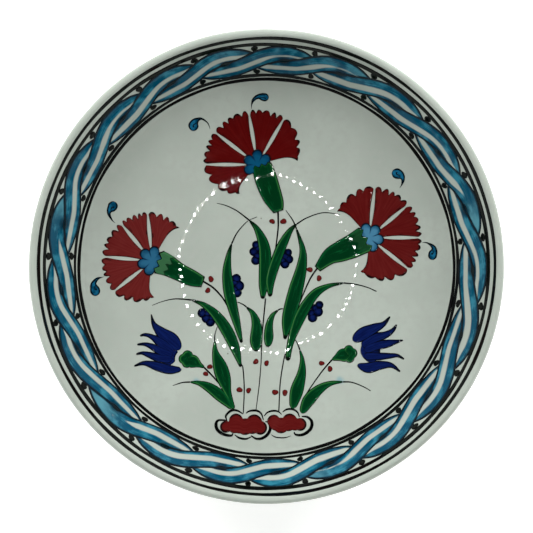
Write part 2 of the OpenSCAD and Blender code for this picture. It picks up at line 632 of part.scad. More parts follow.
module left_tulip_petals() {
    tulip_petals(left_tulip_pts, left_calyx_blobs, left_calyx_pts);
}
module left_tulip_calyx() {
    tulip_calyx(left_calyx_blobs, left_calyx_pts);
}
module right_tulip_petals() {
    tulip_petals(right_tulip_pts, right_calyx_blobs, right_calyx_pts);
}
module right_tulip_calyx() {
    tulip_calyx(right_calyx_blobs, right_calyx_pts);
}
module leaves(list) {
    color(green) on_well(paint_t) strokes(list);
}
module centre_leaves() {
    leaves(centre_leaf_pts);
}
module left_leaves() {
    leaves(left_leaf_pts);
}
module right_leaves() {
    leaves(right_leaf_pts);
}
module small_leaves() {
    leaves(small_leaf_pts);
}
module left_tulip_leaves() {
    leaves(left_tulip_leaf_pts);
}
module right_tulip_leaves() {
    leaves(right_tulip_leaf_pts);
}
module leaf_whips() {
    color(ink) on_well(paint_t) difference() {
        strokes(whip_pts);
        strokes(all_leaf_pts);
        stroke(calyx_top_pts);
    }
}
module carnation_stems() {
    color(ink) on_well(paint_t) difference() {
        strokes(carnation_stem_pts);
        strokes(all_leaf_pts);
        for (pts = [calyx_top_pts, calyx_left_pts, calyx_right_pts]) stroke(pts);
        blobs([for (p = red_dot_places) [p[0], p[1], drawn(red_dot_d) / 2]]);
    }
}
module tulip_stems() {
    color(ink) on_well(paint_t) difference() {
        strokes(tulip_stem_pts);
        strokes(all_leaf_pts);
        for (pts = [left_calyx_pts, right_calyx_pts]) stroke(pts);
    }
}
module berries() {
    color(cobalt) on_well(paint_t) difference() {
        union() {
            blobs(berry_blobs);
            strokes(berry_body_pts);
        }
        strokes(all_leaf_pts);
    }
}
module red_dots() {
    color(red) on_well(red_t) blobs([for (p = red_dot_places) [p[0], p[1], drawn(red_dot_d) / 2]]);
}
module left_clump() {
    color(red) on_well(red_t) blobs(left_clump_blobs);
}
module right_clump() {
    color(red) on_well(red_t) blobs(right_clump_blobs);
}
module clump_outlines() {
    color(ink) on_well(paint_t) difference() {
        union() {
            clump_outline(left_clump_blobs);
            clump_outline(right_clump_blobs);
        }
        blobs(left_clump_blobs);
        blobs(right_clump_blobs);
        strokes(all_leaf_pts);
    }
}

plate_body();
white_ground();
recess_glaze();
rim_line();
rope_outer_line();
rope_inner_line();
well_line();
rope_strands();
rope_outlines();
rope_eyes();
rope_outer_dots();
rope_inner_dots();
top_carnation_petals();
top_carnation_heart();
top_carnation_calyx();
top_carnation_curls();
left_carnation_petals();
left_carnation_heart();
left_carnation_calyx();
left_carnation_curls();
right_carnation_petals();
right_carnation_heart();
right_carnation_calyx();
right_carnation_curls();
left_tulip_petals();
left_tulip_calyx();
right_tulip_petals();
right_tulip_calyx();
centre_leaves();
left_leaves();
right_leaves();
small_leaves();
left_tulip_leaves();
right_tulip_leaves();
leaf_whips();
carnation_stems();
tulip_stems();
berries();
red_dots();
left_clump();
right_clump();
clump_outlines();
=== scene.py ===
import bmesh
import bpy
import numpy as np
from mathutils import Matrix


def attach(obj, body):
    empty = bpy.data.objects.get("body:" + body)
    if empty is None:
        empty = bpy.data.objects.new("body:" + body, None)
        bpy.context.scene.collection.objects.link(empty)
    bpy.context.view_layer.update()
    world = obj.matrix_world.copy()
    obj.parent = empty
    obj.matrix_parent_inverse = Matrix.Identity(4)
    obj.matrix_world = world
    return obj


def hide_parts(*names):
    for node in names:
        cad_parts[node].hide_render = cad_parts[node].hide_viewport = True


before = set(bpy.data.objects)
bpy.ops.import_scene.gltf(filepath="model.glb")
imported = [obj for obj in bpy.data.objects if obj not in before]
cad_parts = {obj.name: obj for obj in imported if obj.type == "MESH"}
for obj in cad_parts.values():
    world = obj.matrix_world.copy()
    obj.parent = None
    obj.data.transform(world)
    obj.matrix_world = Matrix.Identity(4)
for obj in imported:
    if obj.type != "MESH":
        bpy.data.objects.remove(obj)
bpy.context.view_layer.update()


# Clay body
# The plate is thrown from a pale clay and turned on its underside, which leaves it a foot ring. After
# its first firing it is coated all over, and only the ring that stands on the table stays bare.
class Shade:
    """A socket among a material's nodes. Arithmetic on it, also with plain numbers, adds Math nodes."""

    def __init__(self, tree, socket=None):
        self.tree = tree
        self.socket = socket

    def node(self, kind, sockets=None, out=0, **settings):
        """Any node: its settings first, then values or links for its sockets; gives one of its outputs."""
        made = self.tree.nodes.new("ShaderNode" + kind)
        for name, value in settings.items():
            setattr(made, name, value)
        for key, value in (sockets or {}).items():
            if isinstance(value, Shade):
                self.tree.links.new(value.socket, made.inputs[key])
            else:
                made.inputs[key].default_value = value
        return Shade(self.tree, made.outputs[out] if made.outputs else None)

    def math(self, operation, *values):
        return self.node("Math", dict(enumerate(values)), operation=operation)

    def __add__(self, other):
        return self.math("ADD", self, other)

    def __sub__(self, other):
        return self.math("SUBTRACT", self, other)

    def __rsub__(self, other):
        return self.math("SUBTRACT", other, self)

    def __mul__(self, other):
        return self.math("MULTIPLY", self, other)

    __radd__ = __add__
    __rmul__ = __mul__

    def step(self, low, high):
        """0 at low, 1 at high and an S-curve between them; a low above the high turns it round."""
        return self.node("MapRange", {0: self, 1: low, 2: high}, interpolation_type="SMOOTHSTEP")

    def blend(self, low, high):
        """Colour that goes from low to high as the value goes from 0 to 1."""
        return self.node("Mix", {0: self, 6: low, 7: high}, out=2, data_type="RGBA")

    def field(self, name):
        """A value that the points of the piece carry."""
        return self.node("Attribute", out=2, attribute_name=name)


def pigment(red, green, blue):
    """A colour as it looks, from 0 to 255, turned into the linear light that shaders use."""
    c = np.array([red, green, blue]) / 255
    return (*np.where(c <= 0.04045, c / 12.92, ((c + 0.055) / 1.055) ** 2.4).tolist(), 1.0)


def clouds(shade, size, detail=2.0):
    """Cloudy pattern with a grain of that many millimetres, fixed to the plate."""
    place = shade.node("TexCoord", out=3)
    return shade.node("TexNoise", {"Vector": place, "Scale": 1000 / size, "Detail": detail})


def material(name, inputs):
    """New material: inputs(shade) gives the sockets of its shader by name."""
    made = bpy.data.materials.new(name)
    made.use_nodes = True
    made.node_tree.nodes.clear()
    shade = Shade(made.node_tree)
    shade.node("OutputMaterial", {"Surface": shade.node("BsdfPrincipled", inputs(shade))})
    return made


def bare_clay(shade):
    """Sockets of bare fired clay: dull, grainy, and stained in places."""
    grog = clouds(shade, 0.8, 4.0)
    stain = clouds(shade, 14.0)
    tone = grog.step(0.3, 0.7).blend(pigment(196, 172, 140), pigment(222, 203, 174))
    return {
        "Base Color": stain.step(0.45, 0.75).blend(tone, pigment(186, 160, 128)),
        "Roughness": 0.75 + 0.15 * grog,
        "Normal": shade.node("Bump", {"Strength": 0.5, "Distance": 0.0002, "Height": grog}),
    }


clay = material("bare_clay", bare_clay)
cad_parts["plate_body"].data.materials.clear()
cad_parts["plate_body"].data.materials.append(clay)


# White ground
# A white slip under clear glaze coats the inside, the lip and the outside down to the foot ring. It was
# poured on, so it has levelled out smooth and glossy, with slow ripples, a few specks and faint stains.
MM = 0.001
rim_d, height, lip_t, floor_t = 200.0, 46.0, 3.6, 5.6
well_z, well_curve_r, bend_r, outer_bend_r = 11.6, 275.0, 9.0, 18.0
wall_slope, outer_slope = np.radians(54.5), np.radians(58.0)
foot_r, foot_w, ground_t = 50.0, 6.0, 0.5
smudge_z, smudges = 18.0, [(-30.6, -50.2, 2.2), (32.0, -49.8, 2.6), (-35.1, -58.2, 1.2), (60.5, -57.0, 1.4)]


def down(slope):
    """Unit vector in [radius, height] at right angles to a slope, pointing outwards and down."""
    return np.stack([np.sin(slope), -np.cos(slope)], -1)


lip_r = lip_t / 2
lip_c = np.array([rim_d / 2 - lip_r, height - lip_r])
well_c = np.array([0.0, well_z + well_curve_r])
under_r = well_curve_r + floor_t
wall_top = lip_c - lip_r * down(wall_slope)
outer_top = lip_c + lip_r * down(outer_slope)


def bend_start(big_r, r, slope, point):
    """Slope at which a bend leaves the big arc, so that it also touches the straight wall through a point."""
    return slope - np.arccos(((point - well_c) @ down(slope) - r) / (big_r - r))


bend_slope = bend_start(well_curve_r, bend_r, wall_slope, wall_top)
bend_c = well_c + (well_curve_r - bend_r) * down(bend_slope)
wall_foot = bend_c + bend_r * down(wall_slope)
wall_len = np.hypot(*(wall_top - wall_foot))
outer_bend_slope = bend_start(under_r, outer_bend_r, outer_slope, outer_top)
outer_bend_c = well_c + (under_r - outer_bend_r) * down(outer_bend_slope)
well_edge_r = well_curve_r * np.sin(bend_slope)


def ripple(plan):
    """By how many millimetres the glaze stands off its true form: three slow waves that cross the plate."""
    x, y = plan[..., 0], plan[..., 1]
    return (0.022 * np.sin(x / 9.1 + y / 23 + 0.7) + 0.018 * np.sin(y / 8.3 - x / 17 + 2.1)
            + 0.012 * np.sin((x + y) / 4.7 + np.sin(x / 13)))


def arc(centre, radius, start, end, steps, way):
    """Arc between two slopes, without its last point, and its outward directions: away (1) or in (-1)."""
    slope = np.linspace(start, end, steps, endpoint=False)
    return centre + radius * down(slope), way * down(slope)


def straight(start, end, steps, direction):
    """Straight run without its last point, with one outward direction."""
    share = np.linspace(0, 1, steps, endpoint=False)[:, None]
    return start + share * (end - start), np.broadcast_to(direction, (steps, 2))


def pole(level, way):
    """The point where a skin meets the plate's axis, and its outward direction: up (1) or down (-1)."""
    return np.array([[0.0, level]]), np.array([[0.0, way]])


def weld(mesh):
    """Merges the points that lie on each other, so that seams, poles and edges are closed."""
    work = bmesh.new()
    work.from_mesh(mesh)
    bmesh.ops.remove_doubles(work, verts=work.verts, dist=1e-6)
    work.to_mesh(mesh)
    work.free()


def piece(name, node, finish, points, faces, fields):
    """Mesh object from points in millimetres, with fields on them. It rides on the plate for a CAD node."""
    mesh = bpy.data.meshes.new(name)
    mesh.from_pydata((points * MM).tolist(), [], faces.tolist(), shade_flat=False)
    for field, values in fields.items():
        mesh.attributes.new(field, "FLOAT", "POINT").data.foreach_set("value", values.astype(np.float32))
    weld(mesh)
    mesh.materials.append(finish)
    made = bpy.data.objects.new(name, mesh)
    bpy.context.scene.collection.objects.link(made)
    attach(made, "root")
    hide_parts(node)


def quads(rows, columns):
    """Corner numbers of all the four-sided faces of a grid of points."""
    n = np.arange(rows * columns).reshape(rows, columns)
    return np.stack([n[:-1, :-1], n[1:, :-1], n[1:, 1:], n[:-1, 1:]], -1).reshape(-1, 4)


def turned_coat(name, node, finish, columns, skin):
    """Coat: an outer skin turned about the axis, and the same skin set back by the coat's thickness. A
    profile that starts away from the axis is closed there."""
    at, away = (np.concatenate(part) for part in zip(*skin))
    at = np.concatenate([(at - ground_t * away)[::-1], at])
    lifted = np.concatenate([0 * away[::-1], away])
    if at[0, 0] > 0:
        at, lifted = (np.concatenate([part, part[:1]]) for part in (at, lifted))
    turn = np.linspace(0, 2 * np.pi, columns + 1)
    ring = np.stack([np.sin(turn), np.cos(turn)], -1)
    wave = ripple(at[:, None, :1] * ring)
    radius = at[:, 0, None] + wave * lifted[:, 0, None]
    level = at[:, 1, None] + wave * lifted[:, 1, None]
    points = np.concatenate([radius[..., None] * ring, level[..., None]], -1)
    piece(name, node, finish, points.reshape(-1, 3), quads(len(at), columns + 1), {})


def ground_colour(shade):
    """White slip under greenish glaze: cloudy, with pale stains, turquoise smudges and dark specks."""
    cloud = clouds(shade, 32.0, 3.0)
    fine = clouds(shade, 3.0, 3.0)
    tone = cloud.step(0.3, 0.7).blend(pigment(173, 182, 172), pigment(184, 193, 183))
    tone = fine.step(0.35, 0.8).blend(tone, pigment(178, 185, 176))
    place = shade.node("TexCoord", out=3)
    for x, y, wide in smudges:
        middle = (x * MM, y * MM, smudge_z * MM)
        off = shade.node("VectorMath", {0: place, 1: middle}, out=1, operation="DISTANCE")
        smudge = (off * 1000 + 1.6 * fine - 0.8).step(wide, 0.2) * 0.55
        tone = smudge.blend(tone, pigment(88, 160, 176))
    cell = {"Vector": place, "Scale": 70.0}
    near = shade.node("TexVoronoi", cell)
    pick = shade.node("SeparateColor", {0: shade.node("TexVoronoi", cell, out=1)})
    speck = near.step(0.035, 0.015) * pick.step(0.72, 0.8)
    return (0.7 * speck).blend(tone, pigment(92, 88, 74))


def glazed(name, colour, dull=0.0, glare=0.3):
    """Material whose colour(shade) lies under clear glaze: glossy, with a faint orange peel."""

    def inputs(shade):
        peel = clouds(shade, 2.6, 1.0)
        return {
            "Base Color": colour(shade),
            "Roughness": 0.008 + dull + 0.02 * clouds(shade, 9.0),
            "IOR": 1.5,
            "Specular IOR Level": glare,
            "Normal": shade.node("Bump", {"Strength": 0.06, "Distance": 0.00004, "Height": peel}),
        }

    return material(name, inputs)


white = glazed("white_glaze", ground_colour, glare=0.5)
foot_slope = np.arcsin(foot_r / under_r)
turned_coat("white_coat", "white_ground", white, 300, [
    arc(well_c, under_r, foot_slope, outer_bend_slope, 12, 1),
    arc(outer_bend_c, outer_bend_r, outer_bend_slope, outer_slope, 14, 1),
    straight(outer_bend_c + outer_bend_r * down(outer_slope), outer_top, 14, down(outer_slope)),
    arc(lip_c, lip_r, outer_slope, wall_slope + np.pi, 20, 1),
    straight(wall_top, wall_foot, 20, -down(wall_slope)),
    arc(bend_c, bend_r, wall_slope, bend_slope, 14, -1),
    arc(well_c, well_curve_r, bend_slope, 0, 60, -1),
    pole(well_z, 1),
])


# Glaze in the foot
# The hollow inside the foot ring has the same coat of slip and glaze, poured in and swilled round. It ends
# against the ring's inner side, because the ring itself is wiped clean before the firing.
recess_slope, recess_rings = np.arcsin((foot_r - foot_w) / under_r), 24
recess_step = recess_slope / recess_rings
turned_coat("foot_coat", "recess_glaze", white, 200, [
    pole(well_c[1] - under_r, -1),
    arc(well_c, under_r, recess_step, recess_slope + recess_step, recess_rings + 1, 1),
])


# Black lines
# Four lines are drawn on the turning wheel with a full brush: two under the lip, two round the well.
# The black is thick, with edges that swell and thin a little as the hand moves.
sunk = 0.12
rope_w = wall_len - 4.8


def drape(plan, lift):
    """Points over the plan, lifted off the inner surface, on which well, bend and wall follow each other."""
    x, y = plan[..., 0], plan[..., 1]
    r = np.hypot(x, y)
    in_well, in_bend = r < well_edge_r, r < wall_foot[0]
    lean = np.where(in_well, r / well_curve_r, np.clip((r - bend_c[0]) / bend_r, 0, 1))
    lean = np.where(in_bend, lean, np.sin(wall_slope))
    flat = np.sqrt(1 - lean**2)
    z = np.where(in_well, well_c[1] - well_curve_r * flat, bend_c[1] - bend_r * flat)
    z = np.where(in_bend, z, wall_foot[1] + (r - wall_foot[0]) * np.tan(wall_slope))
    off = lift + ripple(plan)
    inwards = lean * off / np.maximum(r, 1e-9)
    return np.stack([x - inwards * x, y - inwards * y, z + flat * off], -1)


def patch(plan, edge, along=0.0, across=0.0, seam=0.0, ink=0.0):
    """One painted patch: plan [rows, columns, 2], no extra lift, and fields: the distance to its edge and
    what its colour needs."""
    whole = np.zeros(plan.shape[:2])
    fields = {"edge": edge, "along": along, "across": across, "seam": seam, "ink": ink}
    return plan, 0.0, {field: whole + value for field, value in fields.items()}


def film(name, node, finish, patches, thick, edge_w):
    """Closed film of colour: over each patch the top rises from under the ground at the edge to its full
    thickness in a quarter of an ellipse edge_w wide, and the base is the same patch under the ground."""
    points, faces, fields, count = [], [], [], 0
    for plan, lift, values in patches:
        rise = np.sqrt(1 - (1 - np.clip(values["edge"] / edge_w, 0, 1)) ** 2)
        top = drape(plan, (thick + lift + sunk) * rise - sunk)
        base = drape(plan, 0 * rise - sunk)
        grid = quads(*rise.shape)
        ahead, aside = plan[1:, :-1] - plan[:-1, :-1], plan[:-1, 1:] - plan[:-1, :-1]
        if np.sum(ahead[..., 0] * aside[..., 1] - ahead[..., 1] * aside[..., 0]) < 0:
            grid = grid[:, ::-1]
        points += [top.reshape(-1, 3), base.reshape(-1, 3)]
        faces += [grid + count, grid[:, ::-1] + count + rise.size]
        fields += [values, values]
        count += 2 * rise.size
    joined = {field: np.concatenate([f[field].ravel() for f in fields]) for field in fields[0]}
    piece(name, node, finish, np.concatenate(points), np.concatenate(faces), joined)


def closer_to_ends(count):
    """Shares from 0 to 1 that lie closer together towards both ends."""
    return (1 - np.cos(np.pi * np.linspace(0, 1, count))) / 2


def line_round(radius_at, middle, half_w, phase):
    """Band round the plate about a place up its inner side, of which radius_at gives the radius."""
    turn = np.linspace(0, 2 * np.pi, 361)[:, None]
    share = closer_to_ends(9)
    sway = 0.1 * np.sin(5 * turn + phase) + 0.06 * np.sin(13 * turn + 2 * phase)
    half = half_w * (1 + 0.1 * np.sin(7 * turn - phase) + 0.06 * np.sin(23 * turn + phase))
    radius = radius_at(middle + sway + half * (2 * share - 1))
    plan = np.stack([radius * np.sin(turn), radius * np.cos(turn)], -1)
    return patch(plan, half * (1 - np.abs(2 * share - 1)), along=turn / (2 * np.pi))


def wall_radius(up):
    """Radius on the wall, for a length up it from its foot."""
    return wall_foot[0] + up * np.cos(wall_slope)


def bend_radius(up):
    """Radius on the bend, for a length along it counted from the wall's foot downwards as negative."""
    return bend_c[0] + bend_r * np.sin(wall_slope + up / bend_r)


def ink_colour(shade):
    """Black that thins to a dark grey-green where the brush ran dry."""
    thin = clouds(shade, 5.0, 3.0).step(0.45, 0.85)
    return thin.blend(pigment(3, 4, 4), pigment(14, 17, 16))


ink = glazed("black_line", ink_colour)
for node, radius_at, middle, wide, phase in [
    ("rim_line", wall_radius, wall_len - 1.1, 2.0, 0.4),
    ("rope_outer_line", wall_radius, rope_w - 0.1, 2.2, 2.0),
    ("rope_inner_line", bend_radius, -0.95, 1.75, 3.7),
    ("well_line", bend_radius, -2.95, 1.6, 5.2),
]:
    line = line_round(radius_at, middle, wide / 2, phase)
    film(f"painted_{node}", node, ink, [line], thick=0.2, edge_w=0.3)


# Rope border
# Twenty-one strands twist round the wall. Each is washed with turquoise along both sides, so that a bare
# stripe stays between, and is outlined in black; an eye sits where strands part, and dots fill the gaps.
# Places are drawn in strand pitches along and rope widths across, from the middle of a strand.
strand_n = 21
strand_pitch = 2 * np.pi / strand_n
strand_line_w, line_swell, gap_dot_d, eye_d = 0.75, 0.5, 3.2, 3.8
strand_top = [
    (-0.5, 0), (-0.34, 0.07), (-0.22, 0.14), (-0.1, 0.23), (0.024, 0.33), (0.175, 0.425), (0.33, 0.49),
    (0.57, 0.5), (0.8, 0.42), (0.97, 0.28),
]
strand_stripe = [
    (-0.93, -0.23, 0.01), (-0.82, -0.24, 0.085), (-0.65, -0.26, 0.105), (-0.5, -0.26, 0.11),
    (-0.3, -0.24, 0.115), (-0.15, -0.17, 0.12), (0, -0.075, 0.125), (0.12, 0.01, 0.125),
    (0.25, 0.1, 0.115), (0.4, 0.16, 0.105), (0.58, 0.18, 0.1), (0.73, 0.16, 0.095), (0.85, 0.17, 0.08),
    (0.95, 0.2, 0.03),
]
washed_ends = {0: 0.6, 3: 0.9, 8: 0.6, 12: 1.0, 15: 0.9, 17: 0.4, 20: 0.4}
eye_turns = np.radians([
    5.0, 20.8, 38.5, 56.6, 73.7, 91.2, 110.0, 128.3, 145.7, 162.0, 177.4, 192.5, 209.6, 227.1, 246.5,
    263.4, 281.9, 298.3, 315.8, 332.6, 348.6,
])
own_edge, next_edge, strand_end = 0.42, 0.62, 0.957
rope_middle, rope_share, stripe_share = 0.47, 0.95, 0.68
pitch_w = strand_pitch * wall_radius(rope_w / 2)
hand = np.random.default_rng(21)


def smooth(points, steps):
    """Cubic curve through the points, whose slope at each is half the way between its neighbours."""
    p = np.asarray(points, float)
    q = np.concatenate([2 * p[:1] - p[1:2], p, 2 * p[-1:] - p[-2:-1]])
    a, b, c, d = (q[k : k + len(p) - 1, None] for k in range(4))
    t = np.linspace(0, 1, steps, endpoint=False)[None, :, None]
    span = b + t * (c - a) / 2 + t**2 * (a - 2.5 * b + 2 * c - d / 2) + t**3 * (1.5 * (b - c) + (d - a) / 2)
    return np.concatenate([span.reshape(-1, p.shape[1]), p[-1:]])


lap = 2 * np.pi
more_turns = np.concatenate([eye_turns[-3:] - lap, eye_turns, eye_turns[:4] + lap])
eye_line = smooth(np.column_stack([np.arange(-3, strand_n + 4), more_turns]), 12)
top_edge = smooth(strand_top, 8)
base_edge = -top_edge[::-1]
stripe = smooth(strand_stripe, 8)


def rope_plan(i, place):
    """Plan of places on strand i, whose turns follow the unevenly spaced eyes."""
    turn = np.interp(i + 0.5 + place[..., 0], *eye_line.T)
    radius = wall_radius(rope_w * (rope_middle + rope_share * place[..., 1]))
    return np.stack([radius * np.sin(turn), radius * np.cos(turn)], -1)


def strand(i):
    """Strand: across it from its inner to its outer edge, which near head and tail are its neighbours' edges.
    Its fields tell the way to the nearest eye and how far the wash is from the bare stripe."""
    x = strand_end * (2 * closer_to_ends(65) - 1)
    ahead = np.interp(x, [own_edge, next_edge], [0, 1])
    inner = np.interp(x, *base_edge.T) * (1 - ahead) + np.interp(x - 1, *top_edge.T) * ahead
    behind = np.interp(x, [-next_edge, -own_edge], [1, 0])
    outer = np.interp(x, *top_edge.T) * (1 - behind) + np.interp(x + 1, *base_edge.T) * behind
    share = closer_to_ends(21)
    y = inner[:, None] + (outer - inner)[:, None] * share
    wide = (outer - inner)[:, None] * rope_w
    edge = np.minimum(wide * np.minimum(share, 1 - share), (strand_end - np.abs(x))[:, None] * pitch_w)
    middle, half = np.interp(x, stripe[:, 0], stripe[:, 1]), np.interp(x, stripe[:, 0], stripe[:, 2])
    # The bare stripe is drawn wider towards the lower right of the plate and narrower towards the upper left,
    # so the rope is painted lighter on one side and darker on the other: painted light and shade. The random
    # part is the painter's own unevenness.
    wider_with_painted_light = stripe_share + 0.06 * np.cos((i + 0.5) * strand_pitch - 2.2) + 0.06 * hand.normal()
    bare = np.interp(x, [0.05, 0.4], [1, 1 - washed_ends.get(i, 0)])
    half = half * wider_with_painted_light * bare - 0.04 * (1 - bare) + 0.008 * hand.normal() * np.sin(4 * x)
    washed = (np.abs(y - middle[:, None]) - half[:, None]) * rope_w
    place = np.stack([np.broadcast_to(x[:, None], y.shape), y], -1)
    to_eye = np.hypot((np.abs(x)[:, None] - 0.5) * pitch_w, y * rope_w)
    pale = 0.3 * hand.random() + 0.65 * washed_ends.get(i, 0)
    return patch(rope_plan(i, place), edge, along=x[:, None], across=to_eye, seam=washed, ink=pale)


def stroke(points, rows=60, columns=7, scale=1.0, blunt=False):
    """Brush stroke through points [x, y, half width], cut off blunt or closed by half circles, with rows
    closer together at its ends and columns closer together at its sides."""
    line = smooth(points, 24) * scale
    run = np.concatenate([[0], np.cumsum(np.hypot(*np.diff(line[:, :2], axis=0).T))])
    share = closer_to_ends(rows)
    x, y, half = (np.interp(share * run[-1], run, column) for column in line.T)
    to_end = np.minimum(share, 1 - share) * run[-1]
    half = half * (1 if blunt else np.sqrt(1 - (1 - np.clip(to_end / half, 0, 1)) ** 2))
    spine = np.stack([x, y], -1)
    ahead = np.gradient(spine, axis=0)
    ahead /= np.hypot(*ahead.T)[:, None]
    aside = np.stack([-ahead[:, 1], ahead[:, 0]], -1)
    v = np.sin(np.pi / 2 * np.linspace(-1, 1, columns))
    plan = spine[:, None] + aside[:, None] * (half[:, None] * v)[..., None]
    edge = np.minimum(half[:, None] * (1 - np.abs(v)), to_end[:, None] if blunt else np.inf)
    return patch(plan, edge, along=share[:, None], across=v)


def on_rope(i, flat):
    """A patch in millimetres along and across the rope, put on strand i."""
    plan, lift, values = flat
    return rope_plan(i, plan / np.array([pitch_w, rope_w])), lift, values


def blot(x, y, radius, unevenness=0.1):
    """Drop of colour: a disc whose radius swells and shrinks a little round its rim."""
    turn = np.linspace(0, 2 * np.pi, 25)
    a, b = hand.uniform(0, 2 * np.pi, 2)
    reach = radius * (1 + unevenness * np.sin(2 * turn + a) + unevenness / 2 * np.sin(3 * turn + b))
    share = np.sin(np.pi / 2 * np.linspace(0, 1, 7))[:, None]
    plan = np.array([x, y]) + (share * reach)[..., None] * np.stack([np.cos(turn), np.sin(turn)], -1)
    return patch(plan, reach * (1 - share), along=share, across=turn / np.pi - 1)


def outline(points):
    """A strand's edge as a thin black stroke that swells at one end."""
    mm = points * np.array([pitch_w, rope_w])
    half = strand_line_w / 2 * (1 + line_swell * np.linspace(1, 0, len(mm)) ** 2)
    return stroke(np.column_stack([mm, half])[::4])


def streaks(shade, x, y, z, scale=2.0, detail=3.0):
    """Brush marks: a cloudy pattern over three values, drawn out where a value changes slowly."""
    place = shade.node("CombineXYZ", {0: x, 1: y, 2: z})
    return shade.node("TexNoise", {"Vector": place, "Scale": scale, "Detail": detail})


def turquoise_wash(shade):
    """Turquoise that is deepest along the strand's edges and thins in streaks towards the bare stripe."""
    washed, near_eye, own = shade.field("seam"), shade.field("across"), shade.field("ink")
    edge, along = shade.field("edge"), shade.field("along")
    drag = streaks(shade, along * 2.2, washed * 1.6, own * 40)
    cloud = clouds(shade, 6.0, 3.0)
    deep = (edge + drag * 1.6).step(2.5, 0.8)
    tone = deep.blend(pigment(4, 76, 102), pigment(0, 31, 48))
    tone = (0.65 * (cloud + 0.5 * drag).step(0.7, 0.95)).blend(tone, pigment(62, 146, 168))
    pale_end = (along + 0.9 * own + 0.5 * (cloud - 0.5)).step(1.0, 1.5) * edge.step(0.3, 1.6)
    tone = (0.75 * pale_end).blend(tone, pigment(94, 156, 170))
    tone = (0.75 * (near_eye + 1.5 * (cloud - 0.5)).step(4.2, 1.8)).blend(tone, pigment(0, 28, 46))
    tone = (0.9 * edge.step(1.2, 0.45)).blend(tone, pigment(0, 18, 34))
    covered = (washed + (drag - 0.5) * 0.9).step(-0.35, 0.5)
    return covered.blend(ground_colour(shade), tone)


def blue_black(shade):
    """Black that took up turquoise from the wash beside it."""
    return clouds(shade, 4.0, 3.0).step(0.35, 0.75).blend(pigment(1, 12, 18), pigment(3, 34, 48))


strand_wash = glazed("turquoise_wash", turquoise_wash)
strands = [strand(i) for i in range(strand_n)]
film("painted_rope_strands", "rope_strands", strand_wash, strands, thick=0.16, edge_w=0.4)
rope_ink = glazed("blue_black_line", blue_black)
edges = [on_rope(i, outline(line)) for i in range(strand_n) for line in (top_edge, base_edge[::-1])]
film("painted_rope_outlines", "rope_outlines", rope_ink, edges, thick=0.22, edge_w=0.25)
eye = np.array([(-0.1, -0.06, 0.3), (-0.045, -0.012, 1.0), (0.03, 0.008, 1.0), (0.1, 0.02, 0.3)])
eye = eye * (pitch_w, rope_w, 0.36 * eye_d) - (0.5 * pitch_w, 0, 0)
eyes = [on_rope(i, stroke(eye * (1, 1, hand.uniform(0.85, 1.1)), 30, 11)) for i in range(strand_n)]
film("painted_rope_eyes", "rope_eyes", rope_ink, eyes, thick=0.25, edge_w=0.4)
gap_reach = (rope_w - gap_dot_d) / 2
for node, x, y in [("rope_outer_dots", 0.0, gap_reach), ("rope_inner_dots", 0.02 * pitch_w, -gap_reach)]:
    dots = [on_rope(i, blot(x, y, gap_dot_d / 2)) for i in range(strand_n)]
    film(f"painted_{node}", node, ink, dots, thick=0.25, edge_w=0.4)


